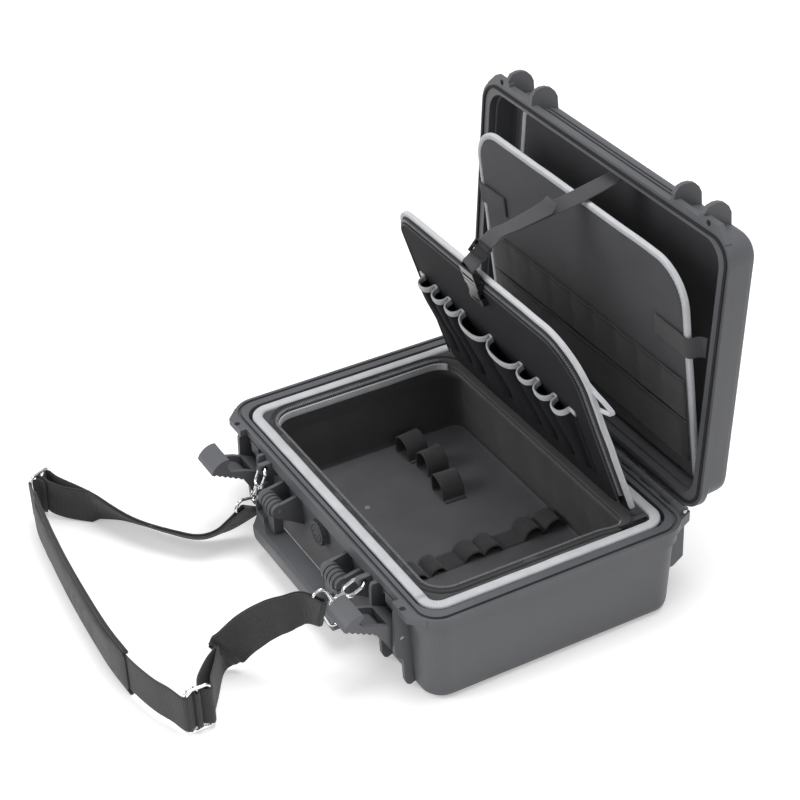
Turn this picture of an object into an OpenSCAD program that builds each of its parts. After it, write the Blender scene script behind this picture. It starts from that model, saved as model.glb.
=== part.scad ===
// Hard tool case, open, with a fabric tool bag in the base, a pocket board in the lid
// and a shoulder strap. Millimetres, Z up, latches toward -Y, hinge toward +Y.
// Origin: on the floor, under the middle of the base rim.

/* [Case] */
// Width of the rim along the hinge
case_w = 410; // [340:1:500]
// Depth of the rim, front to hinge
case_d = 283; // [236:1:345]
// Height of the base up to the parting line
base_h = 100; // [90:1:125]
// Height of the lid above the parting line
lid_h = 37; // [34:1:48]
// Outer corner radius of the rim
rim_r = 27; // [22:1:32]
// Shell wall thickness
wall = 3.2; // [2.8:0.1:4]
// How far the body wall stands in from the rim edge
wall_in = 5; // [4:0.5:6]
// Width of the flat rim on the two sides
rim_side = 14.5; // [13:0.5:17]
// Width of the flat rim at front and back
rim_front = 10.5; // [10:0.5:12]
// Angle the lid stands open
lid_open = 94; // [80:1:100]

/* [Hinge] */
// Distance of the hinge pin behind the rim
hinge_out = 6; // [5.8:0.1:8]
// Radius of the hinge knuckles
knuckle_r = 5; // [4.5:0.1:5.2]
// Hinge pin diameter
hinge_pin_d = 4; // [3:0.1:4.5]
// Number of base knuckles
base_knuckles = 12; // [6:1:14]

/* [Latches] */
// Distance of each latch from the middle
latch_x = 139; // [120:1:145]
// Width of a latch lever
lever_w = 34; // [28:1:36]
// Angle a lever swings up to close
lever_swing = 50; // [50:1:50]
// Latch pin diameter
latch_pin_d = 4; // [3:0.1:5]
// Padlock hole diameter
padlock_d = 6; // [5:0.1:7]
// Distance of each padlock hole from the middle
padlock_x = 170; // [165:1:175]

/* [Handle] */
// Distance of each handle pivot from the middle
handle_x = 66; // [58:1:68]
// Handle pin diameter
handle_pin_d = 4; // [3:0.1:5]
// Thickness of the handle grip
grip_t = 14; // [12:0.5:16]

/* [Bag] */
// Fabric board thickness of the bag walls
bag_t = 2.5; // [2:0.1:3]
// Thickness of the bag flap
flap_t = 3.5; // [3:0.1:4]
// Angle the bag flap stands open
flap_open = 72; // [60:1:76]
// Angle the pocket board leans out of the lid
board_lean = 10.5; // [8:0.5:12]
// Diameter of the grey piping
piping_d = 4.4; // [3.6:0.1:5]

/* [Strap] */
// Width of the strap webbing
strap_w = 40; // [34:1:45]
// Thickness of the strap webbing
strap_t = 2; // [1.8:0.1:2.4]

/* [Hidden] */
$fn = 48;

// clearances: between faces on different bodies, round a turning pin, for a cut to pass
gap = 0.3;
run = 0.05;
eps = 0.01;

// shell
flange_h = 7;
collar_h = 19;
draft = 4;
bottom_r = 9;
wall_w = case_w - 2*wall_in;
wall_d = case_d - 2*wall_in;
cav_w = case_w - 2*rim_side;
cav_d = case_d - 2*rim_front;
cav_r = rim_r - 7;
front = -case_d/2;
groove_in = 3.2;
groove_w = 3.4;
groove_h = 2.6;
gasket_h = 1.5;

// hinge
hinge_y = case_d/2 + hinge_out;
hinge_z = base_h;
hinge_half = case_w/2 - 22;
knuckle_n = 2*base_knuckles - 1;
knuckle_p = 2*hinge_half/knuckle_n;

// latches
lever_gap = 2.5;
rib_t = 4.5;
rib_x = lever_w/2 + lever_gap;
rib_front = front - 8;
latch_y = front - 1.5;
latch_z = base_h - 40;
ledge_out = 3.5;
boss_in = 13.5;
boss_side = 12.5;
hole_y = front - 3.6;

// handle
handle_y = front - 18;
handle_z = base_h - 28;
barrel_r = 9;
barrel_w = 24;
bracket_t = 4;
arm_w = 8;
handle_w = 2*(handle_x + barrel_w/2 + arm_w);
handle_drop = 54;

// strap eyes
eye_x = 103;
eye_z = base_h - 12;
eye_y = front - 8;

// bag
bag_gap = 3;
bag_w = cav_w - 2*bag_gap;
bag_d = cav_d - 2*bag_gap;
bag_r = cav_r - 1;
bag_base = wall;
bag_top = base_h - 6;
tub_w = bag_w - 24;
tub_d = bag_d - 24;
border_t = 2;
open_w = bag_w - 36;
open_front = -bag_d/2 + 18;
open_back = bag_d/2 - 29;
open_d = open_back - open_front;
open_y = (open_back + open_front)/2;
open_r = 24;
pipe_r = piping_d/2;

// row of elastic tool loops along the right wall: where it starts, its width, and for each
// loop its middle, its span and its height
row_x = 17;
row_w = 26;
row = [[-60, 18, 9], [-38, 15, 8.5], [3, 20, 11], [24, 19, 11], [71.5, 21, 13], [96, 22, 14]];

// flap, closed it lies over the opening
flap_y = open_back + 3;
flap_z = bag_top + border_t + 2;
flap_len = flap_y - open_front - 1;
flap_w = open_w - 2;

// pocket board in the lid, in the lid's closed frame
board_u = 24;
board_v = 17;
board_len = 232;
board_w = cav_w - 32;
board_t = 3;
board_r = 34;

// strap hardware
wire_r = 2;
loop_r = 7;
loop_s = 7;
shank = 2*loop_r + loop_s + 12;
dee_r = 1.6;
dee_w = strap_w + 7;
dee_d = 14;
slide_w = 24;
slide_h = strap_w + 8;

// ---------- plane shapes ----------
module rr(w, d, r) {
    square([w - 2*r, d], center = true);
    square([w, d - 2*r], center = true);
    for (x = [-1, 1], y = [-1, 1]) translate([x*(w/2 - r), y*(d/2 - r)]) circle(r);
}

module ring(w, d, r, t) {
    difference() {
        rr(w, d, r);
        rr(w - 2*t, d - 2*t, r - t);
    }
}

// a box with draft and a rounded bottom edge, as one hull of corner discs
module pan(w, d, h, r, e, lean) {
    hull() for (x = [-1, 1], y = [-1, 1]) {
        translate([x*(w/2 - r), y*(d/2 - r), h - 1]) cylinder(h = 1, r = r, $fn = 36);
        for (a = [0, 30, 60, 90]) let (o = lean + e*(1 - cos(a)), q = r - e*(1 - cos(a)))
            translate([x*(w/2 - lean - r + (r - q) - (o - lean)), y*(d/2 - lean - r + (r - q) - (o - lean)),
                e*(1 - sin(a))]) cylinder(h = 0.05, r = q, $fn = 36);
    }
}

// side profile in the YZ plane, from x0 to x1
module across(x0, x1) {
    translate([x0, 0, 0]) rotate([90, 0, 90]) linear_extrude(x1 - x0) children();
}

module bar_x(x0, x1, y, z, r) {
    translate([x0, y, z]) rotate([0, 90, 0]) cylinder(h = x1 - x0, r = r);
}

// flat band through centre points, u gives the direction of its width at each point
module band(pts, u, w, t) {
    n = len(pts);
    function dir(i) = let (d = pts[min(i + 1, n - 1)] - pts[max(i - 1, 0)]) d/norm(d);
    v = [for (i = [0:n - 1]) let (q = u[i]/norm(u[i]), c = cross(q, dir(i)), o = c/norm(c)*t/2,
        h = q*w/2) each [pts[i] - o - h, pts[i] + o - h, pts[i] + o + h, pts[i] - o + h]];
    f = concat([[0, 1, 2, 3]], [[4*n - 1, 4*n - 2, 4*n - 3, 4*n - 4]],
        [for (i = [0:n - 2], k = [0:3]) let (a = 4*i + k, b = 4*i + (k + 1)%4)
            each [[a, a + 4, b + 4], [a, b + 4, b]]]);
    polyhedron(v, f, convexity = 6);
}

// round wire bent into a rounded rectangle
module wire_loop(w, d, r, q) {
    for (x = [-1, 1]) translate([x*w/2, 0, 0]) rotate([90, 0, 0])
        cylinder(h = d - 2*r, r = q, center = true);
    for (y = [-1, 1]) translate([0, y*d/2, 0]) rotate([0, 90, 0])
        cylinder(h = w - 2*r, r = q, center = true);
    for (k = [[1, 1, 0], [-1, 1, 90], [-1, -1, 180], [1, -1, 270]])
        translate([k[0]*(w/2 - r), k[1]*(d/2 - r), 0]) rotate(k[2])
            rotate_extrude(angle = 90) translate([r, 0]) circle(q);
}

// ---------- rest placement of the moving parts ----------
module lid_place() {
    translate([0, hinge_y, hinge_z]) rotate([-lid_open, 0, 0])
        translate([0, -hinge_y, -hinge_z]) children();
}

module flap_place() {
    translate([0, flap_y, flap_z]) rotate([-flap_open, 0, 0])
        translate([0, -flap_y, -flap_z]) children();
}

// the board hinges near the back of the lid and leans out of it
module board_place() {
    lid_place() translate([0, hinge_y - board_u, hinge_z + board_v])
        rotate([board_lean, 0, 0]) children();
}

// ---------- base ----------
module boss_plan() {
    for (s = [-1, 1]) polygon([
        [s*(padlock_x - boss_in), front + 10], [s*(padlock_x - boss_in), front - 7],
        [s*(padlock_x + boss_side), front - 7],
        [s*(case_w/2 - 9), front + 6], [s*(case_w/2 - 22), front + 22]]);
}

module padlock_holes(z0, z1) {
    for (s = [-1, 1]) translate([s*padlock_x, hole_y, z0])
        cylinder(h = z1 - z0, d = padlock_d);
}

module latch_rib() {
    polygon([[front + wall_in + 4, base_h - flange_h], [rib_front + 1.5, base_h - 6],
        [rib_front, base_h - 10], [rib_front - 1.5, base_h*0.46],
        [rib_front - 0.5, base_h*0.42], [rib_front + 5.5, base_h*0.36],
        [rib_front + 7, base_h*0.32], [rib_front + 7.5, 10], [rib_front + 9.5, 5],
        [rib_front + 13, 3], [front + wall_in + draft + 6, 7]]);
}

module handle_bracket() {
    translate([handle_y, handle_z]) circle(7.5);
    polygon([[handle_y - 3, handle_z - 6.8], [front + wall_in + 4, handle_z - 26],
        [front + wall_in + 4, handle_z + 12], [handle_y + 2, handle_z + 7.2]]);
}

module eye_plan() {
    polygon([[front + wall_in + 4, base_h - flange_h], [eye_y - 5, base_h - flange_h],
        [eye_y - 6.5, eye_z], [eye_y - 4, eye_z - 5.5], [front + wall_in + 4, eye_z - 14]]);
}

module hinge_knuckles(lid) {
    for (i = [(lid ? 1 : 0):2:knuckle_n - 1])
        bar_x(-hinge_half + i*knuckle_p + gap/2, -hinge_half + (i + 1)*knuckle_p - gap/2,
            hinge_y, hinge_z, knuckle_r);
}

module base_shell() {
    color("#58595d") difference() {
        union() {
            pan(wall_w, wall_d, base_h - eps, rim_r - wall_in, bottom_r, draft);
            translate([0, 0, base_h - collar_h]) linear_extrude(collar_h - 1)
                rr(case_w - 6, case_d - 6, rim_r - 3);
            translate([0, 0, base_h - flange_h]) linear_extrude(flange_h)
                union() { rr(case_w, case_d, rim_r); boss_plan(); }
            // deep band on the front of the rim, between the latches
            translate([-latch_x + rib_x, front, base_h - 13])
                cube([2*(latch_x - rib_x), 6, 13]);
            for (s = [-1, 1]) for (k = [-1, 1]) let (x = s*latch_x + k*(rib_x + rib_t/2))
                across(x - rib_t/2, x + rib_t/2) latch_rib();
            // hinge shelf behind the rim, with the raking end corners
            translate([0, 0, base_h - 14]) linear_extrude(11) polygon([
                [-hinge_half, hinge_y + knuckle_r + 2], [hinge_half, hinge_y + knuckle_r + 2],
                [case_w/2 - 5, case_d/2 - 22], [-case_w/2 + 5, case_d/2 - 22]]);
            hinge_knuckles(false);
            for (i = [0:2:knuckle_n - 1])
                translate([-hinge_half + i*knuckle_p + gap/2, case_d/2 - 2, base_h - 9])
                    cube([knuckle_p - gap, hinge_out + 2, 9]);
            // feet on the back wall
            for (s = [-1, 1]) across(s*(hinge_half - 8) - 3, s*(hinge_half - 8) + 3)
                polygon([[case_d/2 - 12, base_h - 10], [hinge_y + knuckle_r, base_h - 10],
                    [hinge_y + knuckle_r, base_h*0.42], [case_d/2, base_h*0.34],
                    [case_d/2 - 12, base_h*0.34]]);
            for (s = [-1, 1], k = [-1, 1])
                let (x = s*handle_x + k*(barrel_w/2 + gap + bracket_t/2))
                across(x - bracket_t/2, x + bracket_t/2) handle_bracket();
            for (s = [-1, 1]) across(s*eye_x - 3, s*eye_x + 3) eye_plan();
            // seat of the pressure valve
            translate([-6, front + wall_in + 4, base_h - 32]) rotate([90, 0, 0])
                cylinder(h = 7, r = 14);
        }
        // cavity
        translate([0, 0, wall]) pan(cav_w - 4, cav_d - 4, base_h, cav_r,
            bottom_r - 2, draft);
        translate([0, 0, base_h - 12]) linear_extrude(20) rr(cav_w, cav_d, cav_r + 2);
        // gasket groove
        translate([0, 0, base_h - groove_h]) linear_extrude(groove_h + 1)
            ring(case_w - 2*groove_in, case_d - 2*groove_in, rim_r - groove_in, groove_w);
        padlock_holes(base_h - 20, base_h + 1);
        // room for the lid knuckles to turn
        for (i = [1:2:knuckle_n - 1])
            bar_x(-hinge_half + i*knuckle_p - gap/2, -hinge_half + (i + 1)*knuckle_p + gap/2,
                hinge_y, hinge_z, knuckle_r + gap);
        bar_x(-case_w, case_w, hinge_y, hinge_z, hinge_pin_d/2);
        for (s = [-1, 1]) {
            bar_x(s*latch_x - rib_x - rib_t, s*latch_x + rib_x + rib_t, latch_y, latch_z,
                latch_pin_d/2);
            bar_x(s*handle_x - 20, s*handle_x + 20, handle_y, handle_z, handle_pin_d/2);
            bar_x(s*eye_x - 8, s*eye_x + 8, eye_y, eye_z, 3.4);
        }
    }
}

module hinge_pin() {
    color("#b8babd") bar_x(-hinge_half - 2, hinge_half + 2, hinge_y, hinge_z, hinge_pin_d/2);
}

module pressure_valve() {
    color("#4c4d51") translate([-6, front + wall_in - 3, base_h - 32]) rotate([90, 0, 0])
        difference() {
            union() {
                cylinder(h = 3, r = 12.5);
                for (a = [0:20:340]) rotate(a) translate([11, -0.9, 0.4]) cube([2.4, 1.8, 2.2]);
            }
            translate([0, 0, 2]) difference() {
                cylinder(h = 2, r = 9.6);
                translate([0, 0, -1]) cylinder(h = 4, r = 8.4);
            }
            for (a = [0:60:300]) rotate(a) translate([5, 0, 2.2]) cylinder(h = 2, r = 1.1);
        }
}

module latch_pin(s) {
    color("#b8babd") bar_x(s*latch_x - rib_x - rib_t + 0.5, s*latch_x + rib_x + rib_t - 0.5,
        latch_y, latch_z, latch_pin_d/2);
}

module latch_keeper(s) {
    color("#6d6e72") across(s*latch_x - 8, s*latch_x + 8)
        polygon([[front + wall_in - 3, base_h - collar_h - 1], [front + 0.6, base_h - 22],
            [front - 0.2, base_h - 20.5], [front - 0.2, base_h - 9],
            [front + wall_in - 2, base_h - 9]]);
}

module handle_pin(s) {
    color("#b8babd") bar_x(s*handle_x - barrel_w/2 - gap - bracket_t,
        s*handle_x + barrel_w/2 + gap + bracket_t, handle_y, handle_z, handle_pin_d/2);
}

// ---------- bag ----------
module bag_tub() {
    color("#2e2e30") difference() {
        translate([0, 0, bag_base]) linear_extrude(bag_top - bag_base)
            rr(tub_w, tub_d, bag_r - 3);
        translate([0, 0, bag_base + bag_t]) linear_extrude(bag_top)
            rr(tub_w - 2*bag_t, tub_d - 2*bag_t, bag_r - 3 - bag_t);
    }
}

module bag_border() {
    color("#343437") translate([0, 0, bag_top]) linear_extrude(border_t) difference() {
        rr(bag_w - 2*piping_d - 0.1, bag_d - 2*piping_d - 0.1, bag_r - piping_d);
        translate([0, open_y]) rr(open_w, open_d, open_r);
    }
}

module bag_binding() {
    color("#c3c4c6") translate([0, 0, bag_top + border_t - 0.4])
        wire_loop(bag_w - piping_d, bag_d - piping_d, bag_r - pipe_r, pipe_r);
}

module bag_opening_piping() {
    color("#c9cacc") translate([0, open_y, bag_top - 1.6]) linear_extrude(1.6)
        ring(open_w + 4, open_d + 4, open_r + 2, 4.6);
}

module bag_zip_track() {
    color("#1d1d1f") translate([0, 0, bag_top + border_t]) linear_extrude(1.2) difference() {
        translate([0, open_y]) ring(open_w + 5, open_d + 5, open_r + 2.5, 5);
        translate([-case_w/2, open_back - 14]) square([case_w, 60]);
    }
}

module bag_gusset() {
    color("#2b2b2d") translate([-open_w/2 + 6, open_back - 1, bag_top + border_t])
        cube([open_w - 12, bag_d/2 - open_back - 10, 1.7]);
}

// outline of one elastic loop: an arch standing on y = 0
module arch_plan(w, h, t) {
    intersection() {
        difference() {
            union() { translate([0, h - w/2]) circle(w/2); translate([-w/2, 0]) square([w, h - w/2]); }
            union() { translate([0, h - w/2]) circle(w/2 - t);
                translate([-w/2 + t, 0]) square([w - 2*t, h - w/2]); }
        }
        translate([-w/2, 0]) square([w, h]);
    }
}

module arch(w, h, band_w, t) {
    rotate([90, 0, 0]) linear_extrude(band_w, center = true) arch_plan(w, h, t);
}

module bag_floor_loops() {
    color("#38383b") {
        for (p = [[-122, 36], [-84, 38], [-40, 33]])
            translate([p[0], p[1], bag_base + bag_t]) rotate(48) arch(24, 22, 22, 1.4);
        translate([-136, 46, bag_base + bag_t]) rotate(-1) cube([4, 4, 0.1]);
    }
}

// outline of a band bowed up between two seams on y = 0
module bow_plan(w, h, t) {
    r = w*w/(8*h) + h/2;
    intersection() {
        translate([0, h - r]) difference() { circle(r); circle(r - t); }
        translate([-w, 0]) square([2*w, 2*h]);
    }
}

module bag_wall_loops() {
    color("#333336") translate([row_x, 0, bag_base + bag_t]) {
        translate([0, -71, 0]) cube([row_w, 180, 1.2]);
        for (p = row) translate([0, p[0], 0]) rotate([90, 0, 90]) linear_extrude(row_w)
            bow_plan(p[1], p[2], 1.3);
    }
}

module floor_clip() {
    color("#c8cacc") translate([-92, -48, bag_base + bag_t]) rotate(38) {
        linear_extrude(1) difference() {
            square([26, 13], center = true);
            translate([-7, 0]) square([6, 4], center = true);
        }
        translate([4, 0, 1]) cylinder(h = 1.2, r = 2.8);
    }
}

slider_p = [open_w/2 + 5.2, open_back - 10, bag_top + border_t + 1.2];

module zip_slider() {
    color("#2a2a2c") translate(slider_p) difference() {
        union() {
            translate([-4, -6, 0]) cube([8, 12, 1.6]);
            translate([-1.2, -5, 1.6]) cube([2.4, 10, 2.6]);
        }
        translate([-3, 0, 2.7]) rotate([0, 90, 0]) cylinder(h = 6, r = 0.9);
    }
}

module zip_pull() {
    color("#262628") translate([slider_p[0], slider_p[1], slider_p[2] + 2.7]) difference() {
        union() {
            translate([-2.4, 0, 0]) rotate([0, 90, 0]) cylinder(h = 4.8, r = 0.8);
            for (x = [-2.4, 1.6]) translate([x, 0, -0.8]) cube([0.8, 6.6, 1.6]);
            translate([-2.4, 5.6, -0.8]) cube([4.8, 18, 1.6]);
        }
        translate([0, 20, -2]) cylinder(h = 4, r = 1.1);
    }
}

// ---------- lid, drawn closed ----------
module lid_fin() {
    polygon([[front + wall_in + 4, base_h + gap], [rib_front - 1, base_h + gap],
        [rib_front - 7, base_h + 4], [rib_front - 9, base_h + 10],
        [rib_front - 9, base_h + 16], [rib_front - 7, base_h + 22],
        [rib_front - 3, base_h + 26.5], [rib_front + 3, base_h + 30],
        [front + wall_in + 4, base_h + lid_h - 5]]);
}

module lid_closed() {
    difference() {
        union() {
            translate([0, 0, base_h + lid_h]) mirror([0, 0, 1])
                pan(wall_w, wall_d, lid_h - gap, rim_r - wall_in, bottom_r, 2);
            translate([0, 0, base_h + gap]) linear_extrude(flange_h - gap)
                union() { rr(case_w, case_d, rim_r); boss_plan(); }
            for (s = [-1, 1]) for (k = [-1, 1]) let (x = s*latch_x + k*(rib_x + rib_t/2))
                across(x - rib_t/2, x + rib_t/2) lid_fin();
            // catch ledge each lever hooks over
            for (s = [-1, 1]) translate([s*latch_x - rib_x, front - ledge_out, base_h + gap])
                cube([2*rib_x, ledge_out + 2, flange_h - gap]);
            // stiffening beads along the front wall
            for (k = [0:2]) bar_x(-latch_x + rib_x, latch_x - rib_x,
                front + wall_in + 0.3 + k*0.25, base_h + flange_h + 5 + k*5, 1);
            hinge_knuckles(true);
            for (i = [1:2:knuckle_n - 1])
                translate([-hinge_half + i*knuckle_p + gap/2, case_d/2 - 3, base_h + gap])
                    cube([knuckle_p - gap, hinge_out + 3, knuckle_r - gap]);
        }
        translate([0, 0, base_h + lid_h - wall]) mirror([0, 0, 1])
            pan(cav_w - 4, cav_d - 4, lid_h, cav_r, bottom_r - 2, 2);
        translate([0, 0, base_h - 1]) linear_extrude(9) rr(cav_w, cav_d, cav_r + 2);
        translate([0, 0, base_h - 1]) linear_extrude(1 + gap + 1.5)
            ring(case_w - 2*groove_in - 0.6, case_d - 2*groove_in - 0.6,
                rim_r - groove_in - 0.3, groove_w - 0.6);
        padlock_holes(base_h - 1, base_h + 20);
        for (i = [0:2:knuckle_n - 1])
            bar_x(-hinge_half + i*knuckle_p - gap/2, -hinge_half + (i + 1)*knuckle_p + gap/2,
                hinge_y, hinge_z, knuckle_r + gap);
        bar_x(-case_w, case_w, hinge_y, hinge_z, hinge_pin_d/2 + run);
    }
}

module lid_shell() {
    color("#58595d") lid_place() lid_closed();
}

module lid_gasket() {
    color("#151516") lid_place() translate([0, 0, base_h - gasket_h + gap])
        linear_extrude(gasket_h + 1.5)
            ring(case_w - 2*groove_in - 0.6, case_d - 2*groove_in - 0.6,
                rim_r - groove_in - 0.3, groove_w - 0.6);
}

panel_w = cav_w - 34;
panel_d = cav_d - 26;

module lid_back_panel() {
    color("#323235") lid_place() {
        translate([0, 0, base_h + lid_h - wall - 2.4])
            linear_extrude(2.4) rr(panel_w, panel_d, 16);
        // fold that carries the pocket board
        translate([0, hinge_y - board_u + gap, hinge_z]) across(-board_w/2 + 24, board_w/2 - 24)
            polygon([[0, board_v - 0.5], [1.6, board_v - 0.5], [1.6, board_v + 9],
                [-8.5, lid_h - wall - 1.6], [-10.5, lid_h - wall - 2.6], [0, board_v + 8]]);
    }
}

module lid_back_piping() {
    color("#c3c4c6") lid_place() translate([0, 0, base_h + lid_h - wall - 4])
        linear_extrude(1.6) difference() {
            ring(panel_w, panel_d, 16, 4);
            // the fold of the panel passes here
            translate([-board_w/2 + 24 - gap, panel_d/2 - 6]) square([board_w - 48 + 2*gap, 8]);
        }
}

// ---------- pocket board: hinge at its own origin, reaching toward -Y ----------
module board_plan(grow) {
    difference() {
        translate([-board_w/2 - grow, -board_len - grow])
            square([board_w + 2*grow, board_len + grow]);
        for (s = [-1, 1]) translate([s*(board_w/2 - board_r), -board_len + board_r])
            difference() {
                translate([s > 0 ? 0 : -board_r - grow - 1, -board_r - grow - 1])
                    square([board_r + grow + 1, board_r + grow + 1]);
                circle(board_r + grow);
            }
    }
}

module pocket_board() {
    color("#37373a") board_place() linear_extrude(board_t) board_plan(0);
}

module board_piping() {
    color("#c3c4c6") board_place() difference() {
        translate([0, 0, -0.6]) linear_extrude(board_t + 1.2) difference() {
            board_plan(2.2);
            board_plan(-2.4);
        }
        translate([0, 0, -0.02]) linear_extrude(board_t + 0.04) board_plan(0.02);
    }
}

module board_pockets() {
    color("#2f2f32") board_place() {
        for (i = [0:8]) translate([-board_w/2 + 8 + i*(board_w - 16)/9, -board_len + 66, -2.6])
            cube([(board_w - 16)/9 - 0.8, 54, 2.6]);
        translate([-board_w/2 + 8, -board_len + 66, -1]) cube([board_w - 16, 54, 1]);
        translate([-board_w/2 + 8, -board_len + 130, -1.4]) cube([board_w - 16, 74, 1.4]);
    }
}

// a hold-down band: over the face, round the edge, back to the lid wall
module board_strap(s) {
    color("#3a3a3d") board_place() translate([0, -board_len + 46, 0]) mirror([s < 0 ? 1 : 0, 0, 0]) {
        translate([board_w/2 - 46, 0, -2]) cube([49.5, 20, 1.3]);
        translate([board_w/2 + 2.4, 0, -2]) cube([1.6, 20, 9.2]);
    }
}

// ---------- bag flap, drawn closed ----------
module flap_plan(grow) {
    difference() {
        translate([-flap_w/2 - grow, flap_y - flap_len - grow])
            square([flap_w + 2*grow, flap_len + grow]);
        for (s = [-1, 1]) translate([s*(flap_w/2 - open_r), flap_y - flap_len + open_r])
            difference() {
                translate([s > 0 ? 0 : -open_r - grow - 1, -open_r - grow - 1])
                    square([open_r + grow + 1, open_r + grow + 1]);
                circle(open_r + grow);
            }
    }
}

module bag_flap() {
    color("#303033") flap_place() translate([0, 0, flap_z + 0.6]) linear_extrude(flap_t)
        flap_plan(0);
}

module flap_piping() {
    color("#c3c4c6") flap_place() difference() {
        translate([0, 0, flap_z + flap_t - 0.6]) linear_extrude(2.2) difference() {
            flap_plan(1.6);
            flap_plan(-1.8);
        }
        translate([0, 0, flap_z + 0.6]) linear_extrude(flap_t + 0.02) flap_plan(0.02);
    }
}

module flap_zip_track() {
    color("#1d1d1f") flap_place() translate([0, 0, flap_z - 0.6]) linear_extrude(1.2)
        difference() {
            flap_plan(-0.5);
            flap_plan(-5.5);
            translate([-case_w/2, flap_y - 24]) square([case_w, 60]);
        }
}

pocket_parts = [1, 1, 1, 2, 2.1, 1.15, 1.15, 1];
pocket_n = len(pocket_parts);
function pocket_sum(n) = n < 1 ? 0 : pocket_parts[n - 1] + pocket_sum(n - 1);
pocket_unit = (flap_w - 50)/pocket_sum(pocket_n);
function pocket_x(i) = 25 - flap_w/2 + (pocket_sum(i) + pocket_parts[i]/2)*pocket_unit;
function pocket_chord(i) = pocket_parts[i]*pocket_unit - 7;
function pocket_deep(i) = pocket_parts[i] > 1.5 ? 13 : 11;
function pocket_r(i) = pow(pocket_chord(i), 2)/(8*pocket_deep(i)) + pocket_deep(i)/2;
pocket_y = flap_y - flap_len + 46;

// front of one pocket, seen along its length: a bow hanging below the flap
module pocket_bow(i, out, inn, long) {
    translate([pocket_x(i), 0, flap_z + 0.6]) rotate([90, 0, 0]) linear_extrude(long)
        difference() {
            translate([0, pocket_r(i) - pocket_deep(i)]) circle(pocket_r(i) + out);
            translate([0, pocket_r(i) - pocket_deep(i)]) circle(pocket_r(i) - inn);
            translate([-90, 0]) square([180, 90]);
        }
}

module flap_pockets() {
    color("#2a2a2c") flap_place()
        for (i = [0:pocket_n - 1]) translate([0, pocket_y + 120, 0]) pocket_bow(i, 0, 1.2, 120);
}

module pocket_edging() {
    color("#c3c4c6") flap_place()
        for (i = [0:pocket_n - 1]) translate([0, pocket_y, 0]) pocket_bow(i, 0.4, 1.6, 5);
}

module flap_side_loops() {
    color("#c3c4c6") flap_place() for (k = [0, 1])
        translate([flap_w/2 - 30, flap_y - 92 + k*22, flap_z + flap_t + 0.6]) rotate([0, 0, 90])
            arch(15, 12, 5, 1.6);
}

// ---------- tether between the flap and the lid ----------
function lid_point(x, u, v) = [x, hinge_y - u*cos(lid_open) + v*sin(lid_open),
    hinge_z + u*sin(lid_open) + v*cos(lid_open)];

// point on the open flap: x, distance from its hinge, distance out from its inner face
function flap_point(x, a, b) = [x, flap_y - a*cos(flap_open) - b*sin(flap_open),
    flap_z + 0.6 + a*sin(flap_open) - b*cos(flap_open)];

anchor_u = cav_d/2 + hinge_y - 0.9;
buckle_x = -4;
buckle_w = 24;
socket_l = 25;
buckle_b = 5;
tether_w = 20;
fold_p = [3, 53, 334];

buckle_end = flap_point(buckle_x, flap_len + 10.2, buckle_b);
slide_g = atan2(fold_p[2] - buckle_end[2], fold_p[1] - buckle_end[1]);
slide_p = (fold_p*0.55 + buckle_end*0.45) + 2.5*[0, -sin(slide_g), cos(slide_g)];

module tether_socket() {
    color("#1f1f21") flap_place() translate([buckle_x, flap_y - flap_len + 6, flap_z + 0.3])
        mirror([0, 0, 1]) difference() {
            translate([-buckle_w/2, 0, 0]) cube([buckle_w, socket_l, 8.3]);
            translate([-buckle_w/2 + 2.2, -1, 2.6]) cube([buckle_w - 4.4, socket_l - 6, 4.2]);
            for (s = [-1, 1]) translate([s*buckle_w/2 - 3, 6, -1]) cube([6, 11, 12]);
            translate([-7, socket_l - 4.5, -1]) cube([14, 2.4, 12]);
        }
}

module tether_buckle() {
    color("#232325") translate(flap_point(buckle_x, flap_len - 5.7, buckle_b)) rotate([-flap_open, 0, 0])
        mirror([0, 1, 0]) translate([0, 0, -3.2]) difference() {
            union() {
                translate([-buckle_w/2, 0, 0]) cube([buckle_w, 15, 6.4]);
                for (x = [-8.8, -1.6, 5.6]) translate([x, -14, 1.7]) cube([3.2, 15, 3]);
            }
            translate([-tether_w/2 - 0.5, 4, -1]) cube([tether_w + 1, 3.2, 9]);
            translate([-tether_w/2 - 0.5, 9.6, 2]) cube([tether_w + 1, 9, 2.4]);
        }
}

module tether_webbing() {
    color("#333336") band([lid_point(22, anchor_u, 1.5), lid_point(22, anchor_u, 5.5),
            lid_point(21, anchor_u - 7, 11), [16, 128, 357], [12, 103, 350], [8, 72, 341],
            fold_p, buckle_end],
        [for (i = [0:7]) [1, 0, 0]], tether_w, 1.4);
}

module tether_slide() {
    color("#232325") translate(slide_p) rotate([slide_g, 0, 0]) difference() {
        translate([-13, -7, -1.4]) cube([26, 14, 2.8]);
        for (y = [-5.4, 1.4]) translate([-10.6, y, -3]) cube([21.2, 4, 6]);
    }
}

// ---------- handle, hanging ----------
grip_deep = grip_t + 10;
arm_out = 1;

// the grip seen from its end: a deep rounded bar below, thinner arms above
module grip_side() {
    translate([0, 13]) rr(grip_deep, 26, 8);
    polygon([[-grip_deep/2, 13], [grip_deep/2, 13], [grip_deep/2, 19], [grip_t/2, 30],
        [grip_t/2, 90], [-grip_t/2, 90], [-grip_t/2, 30], [-grip_deep/2, 19]]);
}

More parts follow.
